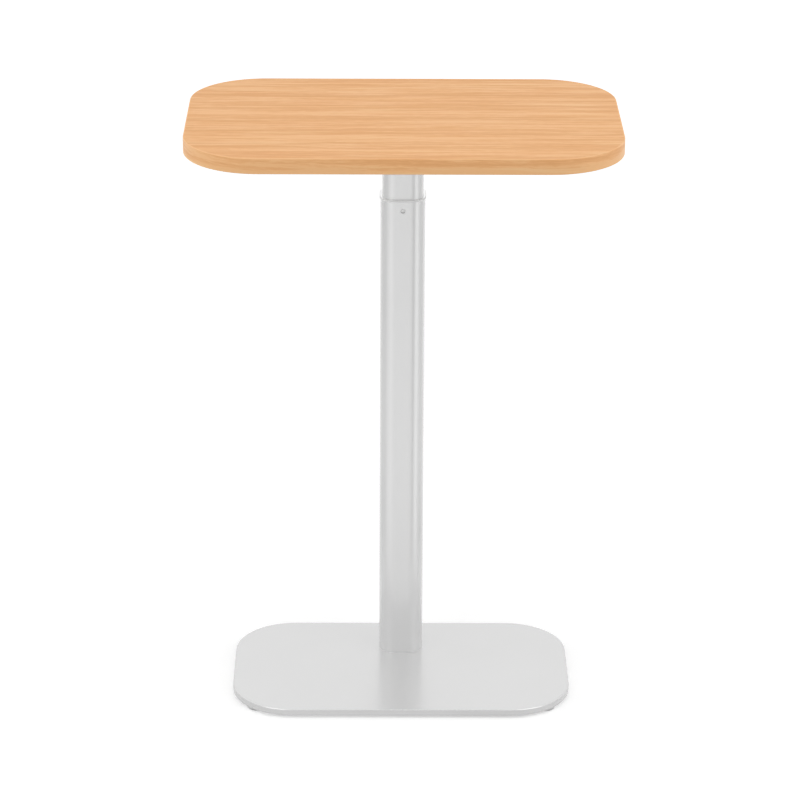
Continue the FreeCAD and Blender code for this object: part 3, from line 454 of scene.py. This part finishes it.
def moulded(name, dark, light, roughness, texture=1500.0, depth=0.00003):
    """Moulded plastic: fine spark-eroded texture, a little cloudy, its edges polished."""
    material, tree = new_material(name)
    where = place(tree)
    cloud = noise(tree, where, even(60.0), detail=3.0)
    fine = noise(tree, where, even(texture))
    on_edges, eased = edge_mask(tree, MOULDED_EDGE_RADIUS)
    tint = mix_colour(tree, spread(tree, cloud, 0.3, 0.7), dark, light)
    rough = swing(tree, on_edges, -0.12, roughness)
    rough = swing(tree, fine, 0.08, rough)
    return close(material, tree, {"Base Color": tint, "Roughness": rough,
                                  "Normal": bump(tree, fine, depth, eased)})


def metal(name, tint_of, grain_scale, roughness, relief):
    """Bare or plated metal: a tint, and a grain that makes it rougher and faintly uneven.

    The roughness is a swing with the grain and a base, and the relief a depth in metres.
    """
    material, tree = new_material(name)
    where = place(tree)
    tint = tint_of(tree, where)
    grain = noise(tree, where, grain_scale)
    rough = swing(tree, grain, *roughness)
    return close(material, tree, {"Base Color": tint, "Metallic": 1.0, "Roughness": rough,
                                  "Normal": bump(tree, grain, relief)})


def plated(name):
    """Bright zinc: fine crystal, faint blue and straw tints."""
    def tint(tree, where):
        patches = noise(tree, where, even(38.0), detail=3.0)
        blue, straw = (0.66, 0.68, 0.71, 1.0), (0.72, 0.71, 0.68, 1.0)
        return mix_colour(tree, spread(tree, patches, 0.35, 0.65), blue, straw)

    return metal(name, tint, even(1800.0), (0.16, 0.20), 0.00001)


def bright_steel(name):
    """Bright rolled stainless strip, faintly hazy."""
    def tint(tree, where):
        return mix_colour(tree, noise(tree, where, even(70.0)), grey(0.90), grey(0.96))

    return metal(name, tint, even(1500.0), (0.08, 0.12), 0.000003)


def turned_steel(name):
    """Machined steel, with tool lines that run round the upright axis and a film of oil."""
    def tint(tree, where):
        oil = noise(tree, where, even(45.0), detail=3.0)
        dark, light = (0.46, 0.46, 0.47, 1.0), (0.58, 0.57, 0.55, 1.0)
        return mix_colour(tree, spread(tree, oil, 0.35, 0.7), dark, light)

    return metal(name, tint, (3.0, 3.0, 2600.0), (0.2, 0.22), 0.00001)


def chromed(name):
    """Ground and chromed rod, with faint wear lines along it."""
    material, tree = new_material(name)
    scratch = noise(tree, place(tree), (900.0, 900.0, 6.0))
    rough = spread(tree, scratch, 0.5, 0.8, 0.06, 0.2)
    tint = mix_colour(tree, scratch, grey(0.72), grey(0.82))
    return close(material, tree, {"Base Color": tint, "Metallic": 1.0, "Roughness": rough,
                                  "Normal": bump(tree, scratch, 0.000004)})


def enamel(name):
    """Black stoved enamel with a slight orange peel and specks of dust."""
    material, tree = new_material(name)
    where = place(tree)
    peel = noise(tree, where, even(260.0), detail=1.0)
    dust = noise(tree, where, even(1400.0), detail=1.0)
    tint = mix_colour(tree, spread(tree, dust, 0.55, 0.8), grey(0.012), grey(0.03))
    rough = swing(tree, dust, 0.1, 0.16)
    return close(material, tree, {"Base Color": tint, "Roughness": rough, "Coat Weight": 0.6,
                                  "Coat Roughness": 0.08, "Normal": bump(tree, peel, 0.00003)})


def rubber(name):
    """Black moulded rubber, dull and finely pitted."""
    material, tree = new_material(name)
    fine = noise(tree, place(tree), even(1200.0))
    tint = mix_colour(tree, fine, grey(0.012), grey(0.035))
    rough = swing(tree, fine, 0.2, 0.6)
    return close(material, tree, {"Base Color": tint, "Roughness": rough,
                                  "Normal": bump(tree, fine, 0.00005)})


def particleboard(name):
    """Pressed chips of mixed browns."""
    material, tree = new_material(name)
    chips = add(tree, "TexVoronoi", {"Vector": place(tree), "Scale": 420.0, "Randomness": 1.0})
    shade = add(tree, "SeparateColor", {0: chips.outputs["Color"]}).outputs[0]
    tint = mix_colour(tree, shade, (0.30, 0.19, 0.10, 1.0), (0.62, 0.46, 0.29, 1.0))
    return close(material, tree, {"Base Color": tint, "Roughness": 0.85,
                                  "Normal": bump(tree, shade, 0.0002)})


def backing(name):
    """Balancing sheet: warm white melamine paper with a faint fibre."""
    material, tree = new_material(name)
    where = place(tree)
    fibre = noise(tree, where, (160.0, 900.0, 1.0), detail=3.0, roughness=0.7)
    cloud = noise(tree, where, even(14.0))
    tone = swing(tree, fibre, 0.5, calculate(tree, "MULTIPLY", cloud, 0.5))
    dark, light = (0.66, 0.62, 0.55, 1.0), (0.74, 0.71, 0.65, 1.0)
    tint = mix_colour(tree, spread(tree, tone, 0.35, 0.65), dark, light)
    rough = swing(tree, fibre, 0.15, 0.42)
    return close(material, tree, {"Base Color": tint, "Roughness": rough,
                                  "Normal": bump(tree, fibre, 0.00003)})


def finish_nodes():
    """Finishes for the record's material slots, set on every CAD node, and one for the wiper."""
    finishes = {
        "powder_coat": silver_coat("silver_powder_coat"),
        "glide_nylon": moulded("glide_grey", grey(0.58), grey(0.64), 0.45),
        "bare_steel": turned_steel("machined_steel"),
        "wiper": bright_steel("wiper_steel"),
        "zinc_steel": plated("bright_zinc"),
        "collar_plastic": moulded("collar_grey", grey(0.90), grey(0.94), 0.35),
        "slider_plastic": moulded("slider_black", grey(0.02), grey(0.03), 0.4),
        "spring_paint": enamel("black_enamel"),
        "rod_chrome": chromed("ground_chrome"),
        "seal_rubber": rubber("seal_black"),
        "board": particleboard("particleboard"),
        "wood_laminate": wood("oak_laminate", TOP_GRAIN, place, 0.3),
        "backer": backing("balancing_sheet"),
        "wood_band": wood("oak_band", BAND_GRAIN_WITH_PAINTED_LIGHT, along_band, 0.5, band_tone),
        "lever_zinc": plated("lever_zinc"),
        "grip_plastic": moulded("grip_black", grey(0.018), grey(0.028), 0.42,
                                texture=900.0, depth=0.00008),
    }
    for part in frame["record"]["subparts"]:
        for material_slot in frame["nodes"][part["node"]].material_slots:
            material_slot.material = finishes[part["material_slot"]]
    # The plate's coat, with painted shade and painted light
    foot = silver_coat("silver_powder_coat_on_plate", shaded_plate=True)
    for material_slot in frame["nodes"]["base_plate"].material_slots:
        material_slot.material = foot
    return finishes


# ---------------------------------------------------------------- mesh helpers

def as_mesh(shape, name, sharp_angle=None):
    """The mesh of a bmesh, which is freed, with edges above an angle in degrees shaded sharp."""
    mesh = bpy.data.meshes.new(name)
    shape.to_mesh(mesh)
    shape.free()
    if sharp_angle is not None:
        mesh.set_sharp_from_angle(angle=math.radians(sharp_angle))
    return mesh


def new_piece(name, mesh, body, material):
    """A piece of the table that rides on a body and takes its finish from one of the slots."""
    piece = bpy.data.objects.new(name, mesh)
    bpy.context.scene.collection.objects.link(piece)
    mesh.materials.append(material)
    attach(piece, body)
    return piece


def middle_of(low, high):
    """The middle of a box, seen from above."""
    return ((low.x + high.x) / 2, (low.y + high.y) / 2)


def rounded_outline(width, depth, radius, centre=(0.0, 0.0)):
    """Points round a rounded rectangle from its back, each with its outward direction and its run."""
    points = []
    run = 0.0
    right, back = width / 2 - radius, depth / 2 - radius
    corners = ((-right, back, 90), (-right, -back, 180), (right, -back, 270), (right, back, 360))
    for x, y, start in corners:
        for step in range(CORNER_STEPS + 1):
            turn = math.radians(start + 90 * step / CORNER_STEPS)
            out = Vector((math.cos(turn), math.sin(turn), 0.0))
            point = Vector((centre[0] + x, centre[1] + y, 0.0)) + radius * out
            if points:
                run += (point - points[-1][0]).length
            points.append((point, out, run))
    first, out, _ = points[0]
    points.append((first, out, run + (first - points[-1][0]).length))
    return points


def divided(points, step):
    """The same outline with its long runs cut into steps."""
    fine = [points[0]]
    for (start, out, run), (end, next_out, next_run) in zip(points, points[1:]):
        pieces = max(1, round((end - start).length / step))
        for index in range(1, pieces + 1):
            share = index / pieces
            fine.append((start.lerp(end, share), out.lerp(next_out, share).normalized(),
                         run + share * (next_run - run)))
    return fine


def unrolled_height(inward, height, middle):
    """A height on the unrolled section, where what runs inward goes on up or down from it."""
    if middle is None:
        return height
    return height + math.copysign(inward, height - middle)


def sweep(name, outline, profile, middle=None):
    """A closed ring: a profile of distances inward and heights, swept round an outline.

    Its "unrolled" map holds the run along the outline and the height up the section, to which the
    distance inward is added above the middle and taken off below it, where a middle is given.
    """
    shape = bmesh.new()
    unrolled = shape.loops.layers.uv.new("unrolled")
    rings = [[shape.verts.new(point - inward * out + Vector((0, 0, height)))
              for inward, height in profile(run)]
             for point, out, run in outline[:-1]]
    for index, here in enumerate(rings):
        there = rings[(index + 1) % len(rings)]
        start, end = outline[index][2], outline[index + 1][2]
        heights = [unrolled_height(inward, height, middle) for inward, height in profile(start)]
        for corner in range(len(here)):
            following = (corner + 1) % len(here)
            face = shape.faces.new((here[corner], there[corner], there[following], here[following]))
            face.smooth = True
            places = ((start, heights[corner]), (end, heights[corner]),
                      (end, heights[following]), (start, heights[following]))
            for loop, spot in zip(face.loops, places):
                loop[unrolled].uv = spot
    bmesh.ops.recalc_face_normals(shape, faces=shape.faces)
    return as_mesh(shape, name, SWEEP_SHARP_ANGLE)


def arc(centre, radius, start, end, steps):
    """Points of an arc in a profile, by angles in degrees."""
    turns = [math.radians(start + (end - start) * step / steps) for step in range(steps + 1)]
    return [(centre[0] + radius * math.cos(turn), centre[1] + radius * math.sin(turn))
            for turn in turns]


def bridge(shape, first, second):
    """Faces between two rings with the same number of points."""
    for side in range(len(first)):
        following = (side + 1) % len(first)
        face = shape.faces.new((first[side], first[following], second[following], second[side]))
        face.smooth = True


# ---------------------------------------------------------------- swept pieces

def make_edge_band(finishes):
    """The edge band with finely rounded arrises, its grain unrolled round the top."""
    low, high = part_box("edge_band")
    outline = rounded_outline(high.x - low.x, high.y - low.y, TOP_CORNER)
    bottom = arc((BAND_ROUND, low.z + BAND_ROUND), BAND_ROUND, 270, 180, BAND_ROUND_STEPS)
    top = arc((BAND_ROUND, high.z - BAND_ROUND), BAND_ROUND, 180, 90, BAND_ROUND_STEPS)
    section = [(BAND_WALL, low.z)] + bottom + top + [(BAND_WALL, high.z)]
    mesh = sweep("rounded_edge_band", outline, lambda run: section, (low.z + high.z) / 2)
    piece = new_piece("rounded_edge_band", mesh, "lift", finishes["wood_band"])
    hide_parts("edge_band")


def make_wiper_ring(finishes):
    """Thin bright ring on the collar's lip, round the inner tube."""
    low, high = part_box("guide_collar")
    tube_low, tube_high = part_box("inner_tube")
    outer = high.x - low.x - 2 * WIPER_INSET
    gap = (high.x - low.x - (tube_high.x - tube_low.x)) / 2
    across = gap - WIPER_INSET - WIPER_CLEARANCE
    outline = rounded_outline(outer, outer, outer * COLLAR_CORNER_SHARE, middle_of(low, high))
    shoulder = arc((WIPER_THICKNESS, high.z), WIPER_THICKNESS, 180, 90, WIPER_ROUND_STEPS)
    section = shoulder + [(across, high.z + WIPER_THICKNESS), (across, high.z)]
    mesh = sweep("wiper_ring", outline, lambda run: section)
    new_piece("wiper_ring", mesh, "base", finishes["wiper"])


def make_tube_weld(finishes):
    """Rippled fillet weld between the inner tube and the plate under the top."""
    low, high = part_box("inner_tube")
    width, depth = high.x - low.x, high.y - low.y
    outline = rounded_outline(width, depth, width * TUBE_CORNER_SHARE, middle_of(low, high))

    def section(run):
        leg = WELD_SIZE - WELD_RIPPLE * abs(math.sin(math.pi * run / WELD_PITCH))
        bead = arc((0.0, high.z), leg, 180, 270, WELD_FACETS)
        return [(WELD_ROOT, high.z)] + bead + [(WELD_ROOT, high.z - leg)]

    mesh = sweep("tube_weld", divided(outline, WELD_STEP), section)
    new_piece("tube_weld", mesh, "lift", finishes["powder_coat"])


# ---------------------------------------------------------------- grip

def ease(share):
    """A share from 0 to 1 that starts and ends level."""
    return share * share * (3 - 2 * share)


def grip_fullness(share, neck, end):
    """The grip's width or height along it, as a share of its fullest: neck, middle, end."""
    if share < GRIP_FULLEST:
        return neck + (1 - neck) * ease(share / GRIP_FULLEST)
    return 1 - (1 - end) * ease((share - GRIP_FULLEST) / (1 - GRIP_FULLEST))


def rib_dip(distance):
    """How far the face sinks between the moulded ribs."""
    along = (distance - RIB_START) / RIB_PITCH
    if not 0 < along < RIB_COUNT:
        return 0.0
    return RIB_DEPTH * (0.5 - 0.5 * math.cos(2 * math.pi * along))


def plain_run(start, end):
    """Distances from a start, one station apart, that stay short of an end."""
    distances = []
    while start < end:
        distances.append(start)
        start += GRIP_STATION
    return distances


def grip_stations(length):
    """Distances along the grip, each with the inset of its section and the share it keeps.

    The inset rounds the mouth, and the share closes the tip.
    """
    stations = []
    for step in range(GRIP_MOUTH_STEPS + 1):
        turn = math.radians(90 * step / GRIP_MOUTH_STEPS)
        stations.append((GRIP_MOUTH_ROUND * (1 - math.cos(turn)),
                         GRIP_MOUTH_ROUND * (1 - math.sin(turn)), 1.0))
    ribs_end = RIB_START + RIB_COUNT * RIB_PITCH
    middle = plain_run(GRIP_MOUTH_ROUND + GRIP_STATION, RIB_START)
    middle += [RIB_START + RIB_PITCH * step / RIB_STEPS for step in range(RIB_COUNT * RIB_STEPS + 1)]
    middle += plain_run(ribs_end + GRIP_STATION, length - GRIP_TIP_ROUND)
    stations += [(distance, 0.0, 1.0) for distance in middle]
    for step in range(GRIP_TIP_STEPS + 1):
        turn = math.radians(GRIP_TIP_TURN * step / GRIP_TIP_STEPS)
        distance = length - GRIP_TIP_ROUND + GRIP_TIP_ROUND * math.sin(turn)
        stations.append((distance, 0.0, math.cos(turn)))
    return stations


def grip_ring(shape, along, centre, half_width, half_height):
    """A rounded-square section across the grip, from its upper right corner."""
    ring = []
    for side in range(GRIP_SIDES):
        turn = math.radians(45 + 360 * side / GRIP_SIDES)
        across = math.copysign(abs(math.cos(turn)) ** (2 / GRIP_SQUARENESS), math.cos(turn))
        up = math.copysign(abs(math.sin(turn)) ** (2 / GRIP_SQUARENESS), math.sin(turn))
        ring.append(shape.verts.new((along, centre[0] + half_width * across,
                                     centre[1] + half_height * up)))
    return ring


def socket_ring(shape, along, centre, half_width, half_height):
    """The lever's rectangle, with as many points as the grip's section, from the same corner."""
    corners = ((1, 1), (-1, 1), (-1, -1), (1, -1))
    steps = GRIP_SIDES // len(corners)
    ring = []
    for index, (across, up) in enumerate(corners):
        next_across, next_up = corners[(index + 1) % len(corners)]
        for step in range(steps):
            share = step / steps
            side = across + (next_across - across) * share
            rise = up + (next_up - up) * share
            ring.append(shape.verts.new((along, centre[0] + half_width * side,
                                         centre[1] + half_height * rise)))
    return ring


def make_grip(finishes):
    """The moulded grip with rounded sides, ribs across its faces and the socket for the lever."""
    low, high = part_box("lever_grip")
    arm_low, arm_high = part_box("release_lever")
    centre = ((low.y + high.y) / 2, (low.z + high.z) / 2)
    half_width, half_height = (high.y - low.y) / 2, (high.z - low.z) / 2
    socket_width = (arm_high.y - arm_low.y) / 2 + SOCKET_CLEARANCE
    socket_height = ARM_HEIGHT / 2 + SOCKET_CLEARANCE
    length = high.x - low.x
    shape = bmesh.new()
    rings = [socket_ring(shape, low.x + SOCKET_DEPTH, centre, socket_width, socket_height),
             socket_ring(shape, low.x, centre, socket_width, socket_height)]
    for distance, inset, kept in grip_stations(length):
        share = distance / length
        width = half_width * grip_fullness(share, GRIP_NECK_WIDTH, GRIP_END_WIDTH) * kept
        height = half_height * grip_fullness(share, GRIP_NECK_HEIGHT, GRIP_END_HEIGHT) * kept
        rings.append(grip_ring(shape, low.x + distance, centre, width - inset,
                               height - inset - rib_dip(distance)))
    for first, second in zip(rings, rings[1:]):
        bridge(shape, first, second)
    shape.faces.new(rings[0])
    shape.faces.new(rings[-1])
    bmesh.ops.recalc_face_normals(shape, faces=shape.faces)
    mesh = as_mesh(shape, "ribbed_grip", GRIP_SHARP_ANGLE)
    piece = new_piece("ribbed_grip", mesh, "lever", finishes["grip_plastic"])
    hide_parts("lever_grip")


# ---------------------------------------------------------------- screws

def screw_mesh(reach):
    """One pan-head wood screw on its own axis, head down, with its tip at a reach above the seat."""
    dome = arc((0.0, 0.0), 1.0, -90, 0, SCREW_DOME_STEPS)
    half = [(SCREW_HEAD_RADIUS * across, SCREW_HEAD_HEIGHT * up) for across, up in dome]
    half += [(SCREW_SHANK_RADIUS, 0.0), (SCREW_SHANK_RADIUS, reach - SCREW_TIP), (0.0, reach)]
    shape = bmesh.new()
    line = [shape.verts.new((across, 0.0, up)) for across, up in half]
    edges = [shape.edges.new(pair) for pair in zip(line, line[1:])]
    bmesh.ops.spin(shape, geom=line + edges, axis=(0, 0, 1), cent=(0, 0, 0),
                   angle=2 * math.pi, steps=SCREW_SIDES)
    bmesh.ops.remove_doubles(shape, verts=shape.verts, dist=1e-6)
    bmesh.ops.recalc_face_normals(shape, faces=shape.faces)
    for face in shape.faces:
        face.smooth = True
    return as_mesh(shape, "screw")


def recess_mesh():
    """The cross that the driver leaves, tapering from below the head into it."""
    shape = bmesh.new()
    below, floor_level = -2 * SCREW_HEAD_HEIGHT, RECESS_DEPTH - SCREW_HEAD_HEIGHT
    square = ((-1, -1), (1, -1), (1, 1), (-1, 1))
    for arm, half in ((RECESS_ARM, RECESS_WIDTH / 2), (RECESS_WIDTH / 2, RECESS_ARM)):
        mouth = [shape.verts.new((x * arm, y * half, below)) for x, y in square]
        floor = [shape.verts.new((x * arm * RECESS_FLOOR_ARM_SHARE,
                                  y * half * RECESS_FLOOR_WIDTH_SHARE, floor_level))
                 for x, y in square]
        shape.faces.new(mouth)
        shape.faces.new(floor)
        for index in range(len(square)):
            following = (index + 1) % len(square)
            shape.faces.new((mouth[index], mouth[following], floor[following], floor[index]))
    bmesh.ops.recalc_face_normals(shape, faces=shape.faces)
    return as_mesh(shape, "recess")


def cut_mesh(mesh, cutter_mesh):
    """The first mesh less the second."""
    body = bpy.data.objects.new("cut_body", mesh)
    cutter = bpy.data.objects.new("cutter", cutter_mesh)
    for item in (body, cutter):
        bpy.context.scene.collection.objects.link(item)
    boolean = body.modifiers.new("cut", "BOOLEAN")
    boolean.operation = "DIFFERENCE"
    boolean.object = cutter
    boolean.solver = "EXACT"
    boolean.use_self = True
    bpy.context.view_layer.update()
    evaluated = body.evaluated_get(bpy.context.evaluated_depsgraph_get())
    result = bpy.data.meshes.new_from_object(evaluated)
    for item in (body, cutter):
        bpy.data.objects.remove(item)
    return result


def make_screws(finishes):
    """Domed cross-head wood screws in two columns under the plate, each turned its own way."""
    low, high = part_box("top_plate_screws")
    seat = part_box("top_plate")[1].z - TOP_PLATE_THICKNESS
    single = cut_mesh(screw_mesh(high.z - seat), recess_mesh())
    columns = (low.x + SCREW_HEAD_RADIUS, high.x - SCREW_HEAD_RADIUS)
    first, last = low.y + SCREW_HEAD_RADIUS, high.y - SCREW_HEAD_RADIUS
    whole = bmesh.new()
    for column in columns:
        for row in range(SCREW_ROWS):
            start = len(whole.verts)
            whole.from_mesh(single)
            whole.verts.ensure_lookup_table()
            spot = Vector((column, first + (last - first) * row / (SCREW_ROWS - 1), seat))
            turn = SCREW_TURN_PER_ROW * row + SCREW_TURN_PER_METRE * column
            matrix = Matrix.Translation(spot) @ Matrix.Rotation(turn, 4, "Z")
            bmesh.ops.transform(whole, matrix=matrix, verts=whole.verts[start:])
    mesh = as_mesh(whole, "cross_head_screws", SCREW_SHARP_ANGLE)
    piece = new_piece("cross_head_screws", mesh, "lift", finishes["zinc_steel"])
    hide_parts("top_plate_screws")


# ---------------------------------------------------------------- studio

def seen_rays(tree):
    """1 for the rays that show the background: from the camera, in a gloss and through glass."""
    paths = add(tree, "LightPath", {}).outputs
    glossy = calculate(tree, "MAXIMUM", paths["Is Camera Ray"], paths["Is Glossy Ray"])
    return calculate(tree, "MAXIMUM", glossy, paths["Is Transmission Ray"])


def reflected_shades(tree):
    """Painted highlights and shadows: glow that light and dark strips add to the floor or take from
    it, for reflections alone, and painted shade round the column's foot.
    """
    column = (*middle_of(*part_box("outer_tube")), 0.0)
    centred = add(tree, "VectorMath", {0: place(tree), 1: column}, operation="SUBTRACT").outputs[0]
    parts = parts_of(tree, centred)
    turn = calculate(tree, "ARCTAN2", parts["X"], calculate(tree, "MULTIPLY", parts["Y"], -1.0))
    away = length_of(tree, centred)
    total = 0.0
    for direction, core, reach, share in FLOOR_SHADES:
        off = calculate(tree, "ABSOLUTE", calculate(tree, "SUBTRACT", turn, math.radians(direction)))
        strip = spread(tree, off, math.radians(reach), math.radians(core), 0.0, share)
        total = calculate(tree, "ADD", total, strip)
    growing = spread(tree, away, *SHADES_START, SHADES_START_SHARE, 1.0)
    gain = spread(tree, away, *SHADES_GAIN_REACH, 0.0, SHADES_GAIN)
    total = calculate(tree, "MULTIPLY", total, calculate(tree, "ADD", growing, gain))
    # Painted shade round the column's foot, in reflections alone
    total = calculate(tree, "ADD", total, spread(tree, away, *NEAR_SHADE_REACH, 0.0, -NEAR_SHADE))
    mirrored = add(tree, "LightPath", {}).outputs["Is Glossy Ray"]
    return calculate(tree, "MULTIPLY", total, mirrored)


def floor_glow(tree):
    """How strongly the floor glows: more far away, less in front of the table as painted shade, and
    with the painted strips that reflections show.
    """
    where = place(tree)
    strength = spread(tree, length_of(tree, where), *FLOOR_GLOW_REACH, FLOOR_GLOW_NEAR, FLOOR_GLOW_FAR)
    # Painted shade: the floor's glow dips in front of the table
    dip = spread(tree, parts_of(tree, where)["Y"], *FLOOR_DIP_REACH, 0.0, FLOOR_DIP)
    strength = calculate(tree, "SUBTRACT", strength, dip)
    return calculate(tree, "ADD", strength, reflected_shades(tree))


def make_floor():
    """A round white floor that keeps the table's shadow, and glows only where it is seen."""
    shape = bmesh.new()
    bmesh.ops.create_circle(shape, cap_ends=True, segments=FLOOR_SIDES, radius=FLOOR_RADIUS)
    mesh = as_mesh(shape, "floor")
    floor = bpy.data.objects.new("floor", mesh)
    bpy.context.scene.collection.objects.link(floor)
    material, tree = new_material("white_floor")
    matt = add(tree, "BsdfDiffuse", {"Color": grey(FLOOR_COLOUR)}).outputs[0]
    glow = add(tree, "Emission", {"Color": grey(1.0), "Strength": floor_glow(tree)}).outputs[0]
    lit = add(tree, "AddShader", {0: matt, 1: glow}).outputs[0]
    shown = add(tree, "MixShader", {0: seen_rays(tree), 1: matt, 2: lit}).outputs[0]
    add(tree, "OutputMaterial", {"Surface": shown})
    mesh.materials.append(material)


def make_world():
    """White where it is seen, and elsewhere a soft light, stronger from the two sides."""
    world = bpy.data.worlds.new("studio")
    world.use_nodes = True
    tree = world.node_tree
    tree.nodes.clear()
    aim = add(tree, "TexCoord", {}).outputs["Generated"]
    sideways = calculate(tree, "ABSOLUTE", parts_of(tree, aim)["X"])
    strength = spread(tree, sideways, *WALL_REACH, WORLD_LIGHT, WALL_LIGHT)
    soft = add(tree, "Background", {"Color": grey(1.0), "Strength": strength}).outputs[0]
    white = add(tree, "Background", {"Color": grey(1.0), "Strength": 1.0}).outputs[0]
    shown = add(tree, "MixShader", {0: seen_rays(tree), 1: soft, 2: white}).outputs[0]
    add(tree, "OutputWorld", {"Surface": shown})
    bpy.context.scene.world = world


def make_lamp(name, spot, target, sides, power):
    """A soft box that looks at a point."""
    light = bpy.data.lights.new(name, "AREA")
    light.shape = "RECTANGLE"
    light.size, light.size_y = sides
    light.energy = power
    lamp = bpy.data.objects.new(name, light)
    bpy.context.scene.collection.objects.link(lamp)
    lamp.location = spot
    lamp.rotation_euler = (Vector(target) - Vector(spot)).to_track_quat("-Z", "Y").to_euler()
    lamp.visible_camera = False


def around(turn, distance, height):
    """A place at an angle from the front, to the right, in degrees."""
    return (distance * math.sin(math.radians(turn)), -distance * math.cos(math.radians(turn)), height)


def make_lamps():
    """A wide box overhead, two boxes in front, and two low panels that light the band's front."""
    make_lamp("overhead", OVERHEAD_PLACE, OVERHEAD_TARGET, OVERHEAD_SIZE, OVERHEAD_POWER)
    for name, turn in BOX_TURNS.items():
        make_lamp(name, around(turn, BOX_DISTANCE, BOX_HEIGHT), BOX_TARGET, BOX_SIZE, BOX_POWER)
    for name, turn in PANEL_TURNS.items():
        spot = around(turn, PANEL_DISTANCE, PANEL_HEIGHT)
        make_lamp(name, spot, PANEL_TARGET, PANEL_SIZE, PANEL_POWERS[name])


def make_camera():
    """The camera of the photograph: pitched down, with a small yaw and roll."""
    ahead = Vector((math.sin(CAMERA_YAW) * math.cos(CAMERA_PITCH),
                    math.cos(CAMERA_YAW) * math.cos(CAMERA_PITCH), -math.sin(CAMERA_PITCH)))
    level = Vector((math.cos(CAMERA_YAW), -math.sin(CAMERA_YAW), 0.0))
    above = level.cross(ahead)
    right = math.cos(CAMERA_ROLL) * level + math.sin(CAMERA_ROLL) * above
    up = math.cos(CAMERA_ROLL) * above - math.sin(CAMERA_ROLL) * level
    data = bpy.data.cameras.new("photo_camera")
    data.sensor_width = SENSOR_WIDTH
    data.lens = FOCAL_PIXELS * SENSOR_WIDTH / PHOTO_PIXELS
    camera = bpy.data.objects.new("photo_camera", data)
    bpy.context.scene.collection.objects.link(camera)
    camera.matrix_world = Matrix((
        (right.x, up.x, -ahead.x, CAMERA_PLACE.x),
        (right.y, up.y, -ahead.y, CAMERA_PLACE.y),
        (right.z, up.z, -ahead.z, CAMERA_PLACE.z),
        (0, 0, 0, 1)))
    bpy.context.scene.camera = camera


# ---------------------------------------------------------------- the scene

def main():
    """Finishes, pieces, studio and camera."""
    finishes = finish_nodes()
    make_edge_band(finishes)
    make_wiper_ring(finishes)
    make_tube_weld(finishes)
    make_grip(finishes)
    make_screws(finishes)
    make_floor()
    make_world()
    make_lamps()
    make_camera()
    bpy.context.scene.view_settings.view_transform = "Standard"


main()
